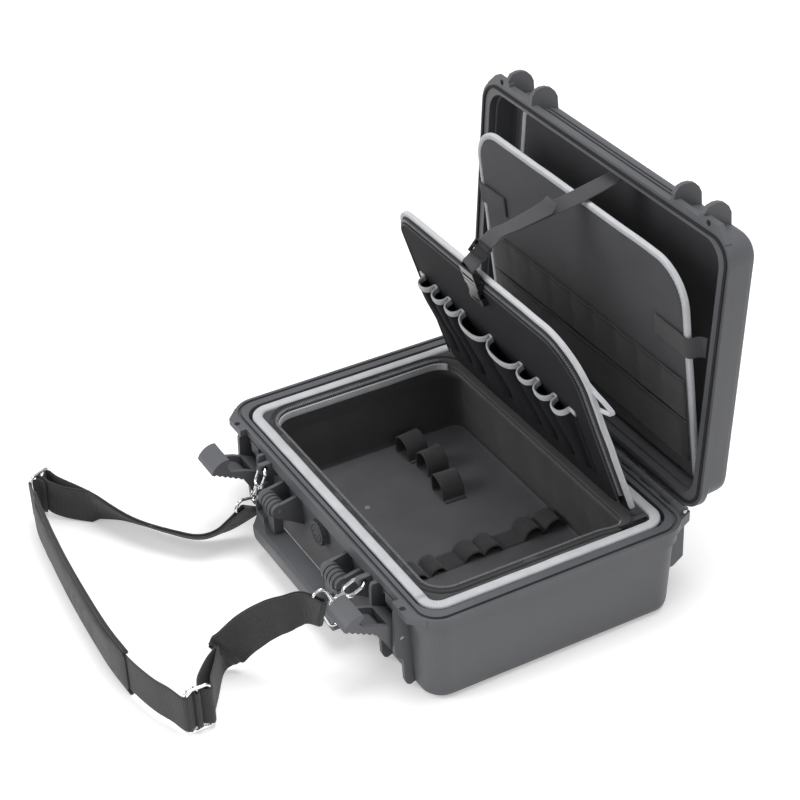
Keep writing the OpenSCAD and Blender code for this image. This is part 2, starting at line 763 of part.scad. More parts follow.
module handle_grip() {
    color("#55565a") difference() {
        union() {
            difference() {
                intersection() {
                    translate([0, handle_y + 20, handle_z - handle_drop]) rotate([90, 0, 0])
                        linear_extrude(40) difference() {
                            translate([0, handle_drop/2 + 3]) rr(handle_w, handle_drop + 6, 16);
                            translate([0, handle_drop/2 + 14])
                                rr(handle_w - 2*arm_w - 18, handle_drop - 22, 10);
                            translate([-handle_w, handle_drop - 4]) square([2*handle_w, 30]);
                        }
                    translate([0, handle_y - 3 + arm_out, handle_z - handle_drop])
                        across(-handle_w, handle_w) grip_side();
                }
                for (s = [-1, 1]) translate([s*handle_x - barrel_w/2 - gap - bracket_t - 0.6,
                    front - 60, handle_z - 16]) cube([barrel_w + 2*gap + 2*bracket_t + 1.2, 80, 60]);
            }
            for (s = [-1, 1]) {
                bar_x(s*handle_x - barrel_w/2, s*handle_x + barrel_w/2, handle_y, handle_z,
                    barrel_r - 1.2);
                for (k = [-1.5:1:1.5]) bar_x(s*handle_x + k*barrel_w/4 - 2,
                    s*handle_x + k*barrel_w/4 + 2, handle_y, handle_z, barrel_r);
                translate([s*handle_x - barrel_w/2, handle_y - 5, handle_z - 28])
                    cube([barrel_w, 10, 28]);
            }
        }
        for (s = [-1, 1]) bar_x(s*handle_x - 30, s*handle_x + 30, handle_y, handle_z,
            handle_pin_d/2 + run);
    }
}

// ---------- latch lever: pivot at [latch_y, latch_z], points given from the pivot ----------
function lever_arc(r, a0, a1, n) = [for (i = [0:n]) let (a = a0 + (a1 - a0)*i/n)
    [-r*cos(a), r*sin(a)]];
hook_r = sqrt(pow(ledge_out - 1.5, 2) + pow(base_h + flange_h - latch_z, 2)) + 0.4;
serration = [for (i = [0:5]) each [[-51 + i*5.6, 22.8 - i*2.9], [-48.6 + i*5.6, 23.4 - i*2.9]]];

module lever_side() {
    polygon(concat(
        lever_arc(hook_r, 36, 45.5, 4),
        [[-34, 36.6], [-37.5, 37], [-42, 36.2], [-47, 33.6], [-51.5, 29.2], [-53.6, 24.8]],
        serration,
        [[-20.6, 7.4], [-8.6, -14.5], [-4, -8]], lever_arc(8, -60, -180, 8),
        lever_arc(8, 180, 100, 4), [[-16, 16.5], [-33, 21.6]]));
}

module latch_lever(s) {
    color("#5d5e62") translate([0, latch_y, latch_z]) difference() {
        across(s*latch_x - lever_w/2, s*latch_x + lever_w/2) lever_side();
        across(s*latch_x - lever_w/2 + 4, s*latch_x + lever_w/2 - 4)
            polygon([[-34.5, 24], [-31, 16.5], [-15.5, 9.2], [-9.6, 3], [-9.4, 30]]);
        bar_x(s*latch_x - 30, s*latch_x + 30, 0, 0, latch_pin_d/2 + run);
    }
}

// ---------- strap hardware ----------
// each hook swings out from its eye by tilt and its dee ring turns by turn
tilt_left = 22;
turn_left = 110;
tilt_right = 67;
turn_right = 90;
function hook_tilt(s) = s < 0 ? tilt_left : tilt_right;
function hook_turn(s) = s < 0 ? turn_left : turn_right;

// a point of the hook's own frame, which hangs toward -Z, in the model
function hook_dir(s, p) = let (a = hook_tilt(s)) [p[0], p[1]*cos(a) + p[2]*sin(a),
    -p[1]*sin(a) + p[2]*cos(a)];
function hook_point(s, p) = [s*eye_x, eye_y, eye_z] + hook_dir(s, p);

module hook_place(s) {
    translate([s*eye_x, eye_y, eye_z]) rotate([-hook_tilt(s), 0, 0]) children();
}

module snap_hook(s) {
    color("#d4d6d8") hook_place(s) {
        translate([0, 0, -loop_r]) rotate([90, 0, 0]) rotate(18) rotate_extrude(angle = 162)
            translate([loop_r, 0]) circle(wire_r);
        translate([-loop_r, 0, -loop_r - loop_s]) cylinder(h = loop_s, r = wire_r);
        translate([-loop_r, 0, -loop_r - 1]) cylinder(h = 2, r = wire_r + 0.35);
        translate([0, 0, -loop_r - loop_s]) rotate([90, 0, 0]) rotate(180)
            rotate_extrude(angle = 180) translate([loop_r, 0]) circle(wire_r);
        translate([0, 0, -2*loop_r - loop_s - 5]) cylinder(h = 5.5, r = 3.4);
        translate([0, 0, -2*loop_r - loop_s - 7.6]) cylinder(h = 2.7, r = 4.7);
        rotate(hook_turn(s)) translate([0, 0, 1.1 - shank]) rotate([0, 90, 0])
            rotate_extrude() translate([4.3, 0]) circle(1.4);
    }
}

module hook_gate(s) {
    color("#c4c6c9") hook_place(s) translate([loop_r, 0, -loop_r - loop_s + 2*gap])
        cylinder(h = loop_s + 0.9, r = wire_r - 0.2);
}

module dee_ring(s) {
    color("#d4d6d8") hook_place(s) rotate(hook_turn(s)) translate([0, 0, -shank - dee_d/2])
        rotate([90, 0, 0]) wire_loop(dee_w, dee_d, 6, dee_r);
}

// webbing folded round a bar that stands through p, along u
module bar_sleeve(p, u) {
    translate(p) rotate([0, acos(u[2]/norm(u)), atan2(u[1], u[0])]) difference() {
        cylinder(h = strap_w, r = dee_r + 0.3 + strap_t, center = true);
        cylinder(h = strap_w + 2, r = dee_r + 0.3, center = true);
    }
}

// where the webbing leaves a bar at p on its way to q
function off_bar(p, q, u) = let (d = q - p, e = d - u*(d*u)/(u*u))
    p + e/norm(e)*(dee_r + 0.3 + strap_t/2);

// width direction square to the run between the neighbours of point i
function square_to(pts, i, u) = let (n = len(pts) - 1, d = pts[min(i + 1, n)] - pts[max(i - 1, 0)],
    q = u - d*(d*u)/(d*d)) q/norm(q);

module strap_web(pts, u, t = strap_t) {
    n = len(pts) - 1;
    color("#28282a") {
        band([for (i = [0:n]) i == 0 ? off_bar(pts[0], pts[1], u[0]) :
            i == n ? off_bar(pts[n], pts[n - 1], u[n]) : pts[i]],
            [for (i = [0:n]) i == 0 || i == n ? u[i] : square_to(pts, i, u[i])], strap_w, t);
        bar_sleeve(pts[0], u[0]);
        bar_sleeve(pts[n], u[n]);
    }
}

// the end that comes back from the ring and is sewn round the slide's middle bar
module strap_return(pts, c) {
    n = len(pts) - 1;
    color("#28282a") {
        band([for (i = [0:n]) i == n ? off_bar(c, pts[n], up) : pts[i]],
            [for (i = [0:n]) up], strap_w, strap_t);
        bar_sleeve(c, up);
    }
}

up = [0, 0, 1];
mid = strap_w/2 + 0.4;
slide_mid = slide_h/2 + dee_r + 0.1;

// ladder slides, standing where the strap turns: centre and direction across the bars
slide_r = [116, -324.5, slide_mid];
across_r = [0, 1];
slide_l = [-266, -327, slide_mid];
across_l = [-0.42, 0.907];

function beside(c, a, k) = [c[0] + a[0]*k*slide_w/2, c[1] + a[1]*k*slide_w/2, c[2]];

module strap_slider(c, a) {
    color("#d4d6d8") translate(c) rotate(atan2(a[1], a[0])) rotate([90, 0, 0]) {
        wire_loop(slide_w, slide_h, 4, dee_r);
        rotate([90, 0, 0]) cylinder(h = slide_h, r = dee_r - 0.3, center = true);
    }
}

dee_end = -shank - dee_d;
long_left = hook_dir(-1, [cos(turn_left), sin(turn_left), 0]);
long_right = -hook_dir(1, [cos(turn_right), sin(turn_right), 0]);

module strap_web_left() {
    strap_web([hook_point(-1, [0, 0, dee_end]), [-109, -186, 30], [-113, -202, 23],
            [-121, -216, 18.5], [-134, -229, 17.5], [-157, -246, 17.5], [-179, -259, 17.5],
            [-203, -272, 18.5], [-224, -288, mid], [-244, -302, mid + 1],
            [-260, -311, slide_mid - 2], beside(slide_l, across_l, 1)],
        [-long_left, [0.5, -0.65, 0.5], [0.62, -0.5, 0.55], [0.6, -0.45, 0.62],
            [0.6, -0.45, 0.7], [0.55, -0.5, 0.7], [0.5, -0.5, 0.72], [0.4, -0.4, 0.82],
            [0.2, -0.15, 0.96], up, up, up], 2*strap_t);
    strap_return([[-224, -291, mid], [-241, -310, mid + 1], [-254, -322, slide_mid - 1]], slide_l);
}

module strap_web_right() {
    strap_web([hook_point(1, [0, 0, dee_end]), [93, -206, 73], [89, -221, 71], [81, -234, 64],
            [73, -246, 54], [66.5, -256, 43], [61.5, -266, 32], [58, -273, 24.5], [61, -280, mid],
            [84, -294, mid], [103, -305, slide_mid - 2], beside(slide_r, across_r, 1)],
        [long_right, [0, -0.25, 0.97], up, up, up, up, up, up, up, up, up, up], 2*strap_t);
    strap_return([[62, -283, mid], [76, -298, mid + 1], [97, -315, slide_mid - 1]], slide_r);
}

pad_t = 3;
pad_mid = strap_w/2 + 6;
pad_pts = [[-236, -343.5, pad_mid], [-205, -348, pad_mid], [-165, -352.5, pad_mid],
    [-110, -357, pad_mid], [-50, -360, pad_mid], [0, -361, pad_mid], [40, -359, pad_mid]];

module strap_web_pad() {
    strap_web(concat([beside(slide_l, across_l, -1), [-252, -341, pad_mid]], pad_pts,
            [[76, -352, pad_mid], [98, -344, pad_mid], beside(slide_r, across_r, -1)]),
        [for (i = [0:len(pad_pts) + 4]) up]);
}

// padded sleeve round the webbing: two leaves joined along both edges
module strap_pad() {
    u = [for (i = [0:len(pad_pts) - 1]) up];
    color("#303032") difference() {
        band(pad_pts, u, strap_w + 12, strap_t + 0.6 + 2*pad_t);
        band([for (i = [0:len(pad_pts) - 1]) pad_pts[i] + (i == 0 ? [-2, 0.2, 0] :
            i == len(pad_pts) - 1 ? [2, 0.1, 0] : [0, 0, 0])], u, strap_w + 0.6, strap_t + 0.6);
    }
}

base_shell();
hinge_pin();
pressure_valve();
latch_pin(-1);  // latch_pin_left
latch_pin(1);  // latch_pin_right
latch_keeper(-1);  // latch_keeper_left
latch_keeper(1);  // latch_keeper_right
handle_pin(-1);  // handle_pin_left
handle_pin(1);  // handle_pin_right
bag_tub();
bag_border();
bag_binding();
bag_opening_piping();
bag_zip_track();
bag_gusset();
bag_floor_loops();
bag_wall_loops();
floor_clip();
zip_slider();
zip_pull();
lid_shell();
lid_gasket();
lid_back_panel();
lid_back_piping();
pocket_board();
board_piping();
board_pockets();
board_strap(-1);  // board_strap_left
board_strap(1);  // board_strap_right
bag_flap();
flap_piping();
flap_zip_track();
flap_pockets();
pocket_edging();
flap_side_loops();
tether_socket();
tether_webbing();
tether_slide();
tether_buckle();
handle_grip();
latch_lever(-1);  // latch_lever_left
latch_lever(1);  // latch_lever_right
snap_hook(-1);  // snap_hook_left
snap_hook(1);  // snap_hook_right
hook_gate(-1);  // hook_gate_left
hook_gate(1);  // hook_gate_right
dee_ring(-1);  // dee_ring_left
dee_ring(1);  // dee_ring_right
strap_web_left();
strap_web_right();
strap_web_pad();
strap_pad();
strap_slider(slide_l, across_l);  // strap_slider_left
strap_slider(slide_r, across_r);  // strap_slider_right
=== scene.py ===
# %% [markdown]
# # A hard tool case, open
# The moulded shell, its latches, handle and hooks come in as an exact frame. This file dresses
# that frame: it gives the hard parts their moulded finish, and it makes the soft parts again as
# sewn things, because a flat board with square edges never looks like padded cloth.

# %% Load the frame
import math
import bpy
from mathutils import Matrix, Vector, noise


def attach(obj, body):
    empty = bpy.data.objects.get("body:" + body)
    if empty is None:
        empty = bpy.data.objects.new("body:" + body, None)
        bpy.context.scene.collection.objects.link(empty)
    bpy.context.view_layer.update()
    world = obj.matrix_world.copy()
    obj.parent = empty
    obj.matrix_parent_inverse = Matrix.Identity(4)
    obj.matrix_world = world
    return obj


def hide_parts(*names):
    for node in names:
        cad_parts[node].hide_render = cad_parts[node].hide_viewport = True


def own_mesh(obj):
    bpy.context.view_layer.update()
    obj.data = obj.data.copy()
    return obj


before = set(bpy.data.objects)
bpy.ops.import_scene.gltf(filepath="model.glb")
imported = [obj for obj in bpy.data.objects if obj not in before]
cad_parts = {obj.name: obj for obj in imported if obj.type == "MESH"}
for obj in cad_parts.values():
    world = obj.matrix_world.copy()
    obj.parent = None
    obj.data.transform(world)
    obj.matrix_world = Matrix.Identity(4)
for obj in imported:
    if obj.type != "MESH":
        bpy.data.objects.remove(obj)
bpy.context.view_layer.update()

# %% [markdown]
# ## The camera and the light
# The case is seen from its front right corner, a little above, through a long lens. A lens that
# is too short would make the near corner swell, so the focal length is set first and the camera
# is then put where the rims run at the right slopes.

# %% Camera
def camera_axes(azimuth, elevation, roll):
    a, e, r = (math.radians(v) for v in (azimuth, elevation, roll))
    right = Vector((math.cos(a), math.sin(a), 0))
    back = Vector((math.sin(a)*math.cos(e), -math.cos(a)*math.cos(e), math.sin(e)))
    up = back.cross(right)
    x = math.cos(r)*right + math.sin(r)*up
    y = -math.sin(r)*right + math.cos(r)*up
    return Matrix((x, y, back)).transposed()

lens = bpy.data.cameras.new("long_lens")
lens.sensor_width, lens.lens = 36, 91.77
camera = bpy.data.objects.new("camera", lens)
CAMERA_PLACE = (1.4043, -0.7853, 1.2459)
AZIMUTH, ELEVATION, ROLL = 62.34, 33.65, -2.53
camera.matrix_world = (Matrix.Translation(CAMERA_PLACE)
                       @ camera_axes(AZIMUTH, ELEVATION, ROLL).to_4x4())
bpy.context.collection.objects.link(camera)
bpy.context.scene.camera = camera
print("camera at", tuple(round(v, 3) for v in camera.location))

# %% [markdown]
# Dark plastic is shaped by what it reflects. Large soft lamps give each rim one long calm
# highlight, and the world lifts the shadows without flattening them. The world is white only
# where the camera looks straight at it: a white reflection on every surface would grey out the
# dark cloth. The floor glows a little for the camera and in mirror images, so it shows as white
# and keeps its shadow.

# %% Lamps, world and floor
def soft_lamp(name, place, target, size, watts):
    data = bpy.data.lights.new(name, "AREA")
    data.shape, data.size, data.energy = "DISK", size, watts
    lamp = bpy.data.objects.new(name, data)
    lamp.location = place
    lamp.rotation_euler = (Vector(target) - Vector(place)).to_track_quat("-Z", "Y").to_euler()
    bpy.context.collection.objects.link(lamp)

soft_lamp("key_above", (0.2, 0.3, 2.5), (0, 0, 0.1), 1.6, 42)
soft_lamp("side_right", (2.4, 0.2, 1.0), (0.1, 0, 0.1), 1.4, 6)
soft_lamp("front_fill", (-0.6, -2.2, 1.3), (0, 0, 0.1), 1.6, 27)

def seen_directly(nodes, links, mirrored=True):
    """1 for rays that show the surface itself or, if mirrored, its reflection; 0 for light."""
    path = nodes.new("ShaderNodeLightPath")
    a = nodes.new("ShaderNodeMath"); a.operation = "MAXIMUM"
    b = nodes.new("ShaderNodeMath"); b.operation = "MAXIMUM"
    links.new(path.outputs["Is Camera Ray"], a.inputs[0])
    if mirrored:
        links.new(path.outputs["Is Glossy Ray"], a.inputs[1])
    else:
        a.inputs[1].default_value = 0
    links.new(a.outputs[0], b.inputs[0])
    links.new(path.outputs["Is Transmission Ray"], b.inputs[1])
    return b.outputs[0]

world = bpy.data.worlds.new("white_studio")
bpy.context.scene.world = world
world.use_nodes = True
wn, wl = world.node_tree.nodes, world.node_tree.links
wn.clear()
lit, shown = wn.new("ShaderNodeBackground"), wn.new("ShaderNodeBackground")
lit.inputs["Strength"].default_value = 0.50
shown.inputs["Strength"].default_value = 1.0
for b in (lit, shown):
    b.inputs["Color"].default_value = (1, 1, 1, 1)
pick, out = wn.new("ShaderNodeMixShader"), wn.new("ShaderNodeOutputWorld")
wl.new(seen_directly(wn, wl, mirrored=False), pick.inputs[0])
wl.new(lit.outputs[0], pick.inputs[1])
wl.new(shown.outputs[0], pick.inputs[2])
wl.new(pick.outputs[0], out.inputs["Surface"])

floor_mesh = bpy.data.meshes.new("floor")
floor_mesh.from_pydata([(-6, -6, -0.0004), (6, -6, -0.0004), (6, 6, -0.0004), (-6, 6, -0.0004)],
                       [], [(0, 1, 2, 3)])
floor = bpy.data.objects.new("floor", floor_mesh)
bpy.context.collection.objects.link(floor)
paper = bpy.data.materials.new("white_paper")
paper.use_nodes = True
pn, pl = paper.node_tree.nodes, paper.node_tree.links
pn.clear()
flat, glow, both, which, end = (pn.new(t) for t in (
    "ShaderNodeBsdfDiffuse", "ShaderNodeEmission", "ShaderNodeAddShader",
    "ShaderNodeMixShader", "ShaderNodeOutputMaterial"))
flat.inputs["Color"].default_value = (0.86, 0.86, 0.86, 1)
glow.inputs["Strength"].default_value = 0.3
pl.new(flat.outputs[0], both.inputs[0])
pl.new(glow.outputs[0], both.inputs[1])
pl.new(seen_directly(pn, pl), which.inputs[0])
pl.new(flat.outputs[0], which.inputs[1])
pl.new(both.outputs[0], which.inputs[2])
pl.new(which.outputs[0], end.inputs["Surface"])
floor_mesh.materials.append(paper)
bpy.context.scene.view_settings.view_transform = "Standard"
print("studio ready: 3 soft lamps, white world, paper floor")

# %% [markdown]
# ## Working in millimetres
# Every sewn part is easiest to draw where it lies flat: the flap and the lid as if they were
# shut, the pocket board on its own hinge line. A matrix then turns each one to where it stands.
# The hinge lines are the frame's own. Where sewn cloth sits differently from a flat board, its
# outline is drawn a few millimetres in or out.

# %% Places of the moving parts
MM = 0.001
def turned(y, z, angle):
    return (Matrix.Translation((0, y, z)) @ Matrix.Rotation(math.radians(angle), 4, "X")
            @ Matrix.Translation((0, -y, -z)))

LID_OPEN, FLAP_OPEN, BOARD_LEAN = 94, 72, 10.5
HINGE_Y, HINGE_Z = 147.5, 100
BAG_W, BAG_D = 375, 256
FLAP_Y, FLAP_Z, FLAP_LEN, FLAP_W = 102, 98, 211, 337
BOARD_LEN, BOARD_W, BOARD_R = 232, 349, 40
LINING_W, LINING_D = 347, 236
UP = (0, 0, 1)
HERE = Matrix.Identity(4)
LID = turned(HINGE_Y, HINGE_Z, -LID_OPEN)
FLAP = turned(FLAP_Y, FLAP_Z, -FLAP_OPEN)
BOARD = LID @ Matrix.Translation((0, HINGE_Y - 24, HINGE_Z + 17)) @ Matrix.Rotation(
    math.radians(BOARD_LEAN), 4, "X")
print("degrees open: lid", LID_OPEN, "flap", FLAP_OPEN, "board", BOARD_LEAN)

# %% [markdown]
# ### From lines and outlines to meshes
# Sewn goods are strips, boards and shells. A strip is an outline swept along a line, and a
# shell is a row of loops joined up. A curve with a bevel could make a strip too, but a mesh
# made point by point keeps its texture coordinates in metres of cloth.

# %% Helpers that make a mesh
def smoothstep(t):
    t = min(max(t, 0.0), 1.0)
    return t*t*(3 - 2*t)

def sewn(name, verts, faces, material, body, stands_for=(), at=HERE, uvs=None, smooth=True):
    """A mesh from points in millimetres, put in place and set to ride on a body."""
    mesh = bpy.data.meshes.new(name)
    mesh.from_pydata([(at @ Vector(v))*MM for v in verts], [], faces)
    if uvs:
        layer = mesh.uv_layers.new(name="UVMap")
        for loop in mesh.loops:
            layer.data[loop.index].uv = [c*MM for c in uvs[loop.vertex_index]]
    mesh.materials.append(material)
    mesh.polygons.foreach_set("use_smooth", [smooth]*len(mesh.polygons))
    mesh.update()
    piece = bpy.data.objects.new(name, mesh)
    bpy.context.collection.objects.link(piece)
    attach(piece, body)
    if stands_for:
        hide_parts(*stands_for)
    print(f"{name}: {len(mesh.polygons)} faces on {body}")
    return piece

def sweep(path, across, up, outline, closed=False):
    """Points and faces of an outline carried along a path. across and up give the outline's own
    two directions at each point. An outline is a closed list of (across, up) offsets."""
    n, m = len(path), len(outline)
    verts, uvs, run = [], [], 0.0
    girth = [0.0]
    for i in range(1, m):
        girth.append(girth[-1] + math.dist(outline[i], outline[i - 1]))
    for i, (p, a, b) in enumerate(zip(path, across, up)):
        if i:
            run += (Vector(p) - Vector(path[i - 1])).length
        for k, (s, t) in enumerate(outline):
            verts.append(Vector(p) + Vector(a)*s + Vector(b)*t)
            uvs.append((run, girth[k]))
    faces = []
    for i in range(n if closed else n - 1):
        j = (i + 1) % n
        for k in range(m):
            l = (k + 1) % m
            faces.append((i*m + k, i*m + l, j*m + l, j*m + k))
    if not closed:
        faces.append(tuple(range(m - 1, -1, -1)))
        faces.append(tuple((n - 1)*m + k for k in range(m)))
    return verts, faces, uvs

def joined(*parts):
    """Several (verts, faces, uvs) as one."""
    verts, faces, uvs = [], [], []
    for v, f, u in parts:
        base = len(verts)
        verts += list(v)
        uvs += list(u)
        faces += [tuple(base + i for i in face) for face in f]
    return verts, faces, uvs

def spline(points, steps):
    """A smooth line through points, with steps pieces between each pair."""
    pts = [Vector(p) for p in points]
    pts = [2*pts[0] - pts[1]] + pts + [2*pts[-1] - pts[-2]]
    line = []
    for i in range(1, len(pts) - 2):
        a, b, c, d = pts[i - 1:i + 3]
        for k in range(steps):
            t = k/steps
            line.append(0.5*((2*b) + (c - a)*t + (2*a - 5*b + 4*c - d)*t*t
                             + (3*b - a - 3*c + d)*t*t*t))
    return line + [pts[-2]]

def run_at(line, i):
    """Direction of a line at its point i."""
    return (line[min(i + 1, len(line) - 1)] - line[max(i - 1, 0)]).normalized()

def frames_along(line, wanted):
    """Directions of a band's width and of its face. The width lies as near wanted as it can."""
    across, face = [], []
    for i, want in enumerate(wanted):
        run = run_at(line, i)
        a = (want - run*want.dot(run)).normalized()
        across.append(a)
        face.append(run.cross(a))
    return across, face

def ups_along(line, side):
    """Directions square to a line and to one fixed side."""
    return [run_at(line, i).cross(Vector(side)).normalized() for i in range(len(line))]

def at_height(pts, z, wave=0.0, scale=1.0):
    """The points of a flat outline at height z, with a slow unevenness."""
    return [Vector((p.x, p.y, z + wave*noise.noise(p/scale))) for p in pts]

def marks_along(line, step):
    """Places a step apart on a line: the point, the direction there, and the leg it lies on."""
    marks, run = [], 0.0
    for i in range(len(line) - 1):
        seg = line[i + 1] - line[i]
        size = seg.length
        if size < 1e-6:
            continue
        while run < size:
            marks.append((line[i] + seg/size*run, seg/size, i))
            run += step
        run -= size
    return marks

def oval(w, h, n=12):
    return [(w/2*math.cos(2*math.pi*k/n), h/2*math.sin(2*math.pi*k/n)) for k in range(n)]

def webbing_outline(w, t):
    """Flat band with soft edges: w wide, t thick."""
    half, r = w/2 - t/2, t/2
    edge = [(half + r*math.cos(a), r*math.sin(a)) for a in
            (math.radians(d) for d in (-60, -20, 20, 60))]
    top = [(half*x, r) for x in (0.9, 0.45, 0, -0.45, -0.9)]
    return edge + top + [(-x, -y) for x, y in edge] + [(-x, -y) for x, y in top]

def rounded_loop(w, d, radii, cy, corner, long, short):
    """Points round a rectangle with their outward directions, from its front right corner on.
    radii are for the corners front right, back right, back left, front left. corner, long and
    short are the numbers of points in each corner and along the sides."""
    pts, out = [], []
    def leg(a, b, n, normal):
        for k in range(n):
            pts.append(Vector(a).lerp(Vector(b), k/n)); out.append(Vector(normal))
    def bend(cx, cyy, r, start, n):
        for k in range(n):
            g = math.radians(start + 90*k/n)
            pts.append(Vector((cx + r*math.cos(g), cyy + r*math.sin(g), 0)))
            out.append(Vector((math.cos(g), math.sin(g), 0)))
    fr, br, bl, fl = radii
    x, y0, y1 = w/2, cy - d/2, cy + d/2
    bend(x - fr, y0 + fr, fr, -90, corner)
    leg((x, y0 + fr, 0), (x, y1 - br, 0), short, (1, 0, 0))
    bend(x - br, y1 - br, br, 0, corner)
    leg((x - br, y1, 0), (-x + bl, y1, 0), long, (0, 1, 0))
    bend(-x + bl, y1 - bl, bl, 90, corner)
    leg((-x, y1 - bl, 0), (-x, y0 + fl, 0), short, (-1, 0, 0))
    bend(-x + fl, y0 + fl, fl, 180, corner)
    leg((-x + fl, y0, 0), (x - fr, y0, 0), long, (0, -1, 0))
    return pts, out

print("helpers ready")

# %% [markdown]
# ## Finishes
# Everything here is black or grey, so the finishes differ by how they break up light: moulded
# plastic has a fine leather-like grain, woven nylon a tiny basket pattern, webbing coarse ribs
# across its run, binding fine ones. Each pattern is drawn in metres along the cloth, so its
# threads keep their true size on every piece.

# %% Base of every finish
def finish_of(name, colour, rough, metal=0.0, spec=0.5, sheen=0.0):
    mat = bpy.data.materials.new(name)
    mat.use_nodes = True
    nodes, links = mat.node_tree.nodes, mat.node_tree.links
    nodes.clear()
    shader = nodes.new("ShaderNodeBsdfPrincipled")
    out = nodes.new("ShaderNodeOutputMaterial")
    links.new(shader.outputs[0], out.inputs["Surface"])
    shader.inputs["Base Color"].default_value = (*colour, 1)
    shader.inputs["Roughness"].default_value = rough
    shader.inputs["Metallic"].default_value = metal
    shader.inputs["Specular IOR Level"].default_value = spec
    shader.inputs["Sheen Weight"].default_value = sheen
    shader.inputs["Sheen Roughness"].default_value = 0.5
    return mat, nodes, links, shader

def coords(nodes, kind="Object"):
    return nodes.new("ShaderNodeTexCoord").outputs[kind]

def cloud(nodes, links, where, scale, detail=3.0):
    n = nodes.new("ShaderNodeTexNoise")
    n.inputs["Scale"].default_value = scale
    n.inputs["Detail"].default_value = detail
    links.new(where, n.inputs["Vector"])
    return n.outputs["Fac"]

def ribs(nodes, links, where, pitch, along):
    """Parallel ribs a pitch apart, in metres."""
    w = nodes.new("ShaderNodeTexWave")
    w.bands_direction = along
    w.inputs["Scale"].default_value = 0.314/pitch
    w.inputs["Distortion"].default_value = 0.0
    links.new(where, w.inputs["Vector"])
    return w.outputs["Fac"]

def mixed(nodes, links, how, a, b):
    m = nodes.new("ShaderNodeMath")
    m.operation = how
    for i, v in enumerate((a, b)):
        if isinstance(v, (int, float)):
            m.inputs[i].default_value = v
        else:
            links.new(v, m.inputs[i])
    return m.outputs[0]

def bumped(nodes, links, shader, height, depth, strength):
    b = nodes.new("ShaderNodeBump")
    b.inputs["Strength"].default_value = strength
    b.inputs["Distance"].default_value = depth
    links.new(height, b.inputs["Height"])
    links.new(b.outputs[0], shader.inputs["Normal"])

def shaded(nodes, links, shader, fac, dark, light, low=0.3, high=0.7):
    """Colour that goes from dark to light as fac goes from low to high."""
    r = nodes.new("ShaderNodeValToRGB")
    r.color_ramp.elements[0].position, r.color_ramp.elements[1].position = low, high
    r.color_ramp.elements[0].color, r.color_ramp.elements[1].color = (*dark, 1), (*light, 1)
    links.new(fac, r.inputs["Fac"])
    links.new(r.outputs[0], shader.inputs["Base Color"])

def varied_rough(nodes, links, shader, fac, low, high):
    m = nodes.new("ShaderNodeMapRange")
    m.inputs["From Min"].default_value, m.inputs["From Max"].default_value = 0.35, 0.65
    m.inputs["To Min"].default_value, m.inputs["To Max"].default_value = low, high
    links.new(fac, m.inputs["Value"])
    links.new(m.outputs[0], shader.inputs["Roughness"])

print("ready: base, noise, ribs, bump, colour and gloss")

# %% [markdown]
# ### Moulded plastic
# The tub and the lid come from an etched steel mould, which leaves a pebbled skin of about half
# a millimetre. Two sizes of noise make it: small cells for the etch, and a slow cloud that
# changes colour and gloss a little, as handling does.

# %% Moulded plastic
def moulded(name, colour, rough, grain=0.00006, pebble=1500.0):
    mat, nodes, links, shader = finish_of(name, colour, rough, spec=0.42)
    where = coords(nodes)
    etch = nodes.new("ShaderNodeTexVoronoi")
    etch.inputs["Scale"].default_value = pebble
    links.new(where, etch.inputs["Vector"])
    bumped(nodes, links, shader, etch.outputs["Distance"], grain, 0.7)
    slow = cloud(nodes, links, where, 14.0, 5.0)
    shaded(nodes, links, shader, slow, [c*0.9 for c in colour], [c*1.1 for c in colour])
    varied_rough(nodes, links, shader, slow, rough - 0.05, rough + 0.05)
    return mat

shell_plastic = moulded("shell_plastic", (0.094, 0.096, 0.104), 0.46)
latch_plastic = moulded("latch_plastic", (0.105, 0.107, 0.115), 0.42, 0.00003)
grip_plastic = moulded("grip_plastic", (0.082, 0.084, 0.091), 0.44, 0.00004)
black_nylon = moulded("black_nylon", (0.014, 0.014, 0.016), 0.22, 0.00001, 700.0)
print("plastics:", shell_plastic.name, latch_plastic.name, grip_plastic.name, black_nylon.name)

# %% [markdown]
# ### Cloth
# Bag cloth is a plain weave of heavy nylon yarn. Two sets of ribs at right angles, the higher of
# the two at each spot, give the over and under of the weave. A slow cloud carries the faint
# lighter and darker patches of stiffened cloth, and sheen gives the dusty edge that black
# nylon has where it turns away.

# %% Woven cloth, webbing, binding
def woven(name, colour, yarn=0.0009, space="UV", sheen=0.25):
    """Plain weave with yarns a yarn width apart, in metres."""
    mat, nodes, links, shader = finish_of(name, colour, 0.82, spec=0.25, sheen=sheen)
    where = coords(nodes, space)
    a = ribs(nodes, links, where, yarn, "X")
    b = ribs(nodes, links, where, yarn, "Y")
    weave = mixed(nodes, links, "MAXIMUM", a, b)
    slow = cloud(nodes, links, where, 22.0, 6.0)
    fine = cloud(nodes, links, where, 900.0, 2.0)
    height = mixed(nodes, links, "ADD", weave, mixed(nodes, links, "MULTIPLY", fine, 0.6))
    bumped(nodes, links, shader, height, 0.00018, 0.8)
    tone = mixed(nodes, links, "ADD", mixed(nodes, links, "MULTIPLY", weave, 0.35),
                 mixed(nodes, links, "MULTIPLY", slow, 0.65))
    shaded(nodes, links, shader, tone, [c*0.72 for c in colour], [c*1.3 for c in colour],
           0.25, 0.8)
    return mat

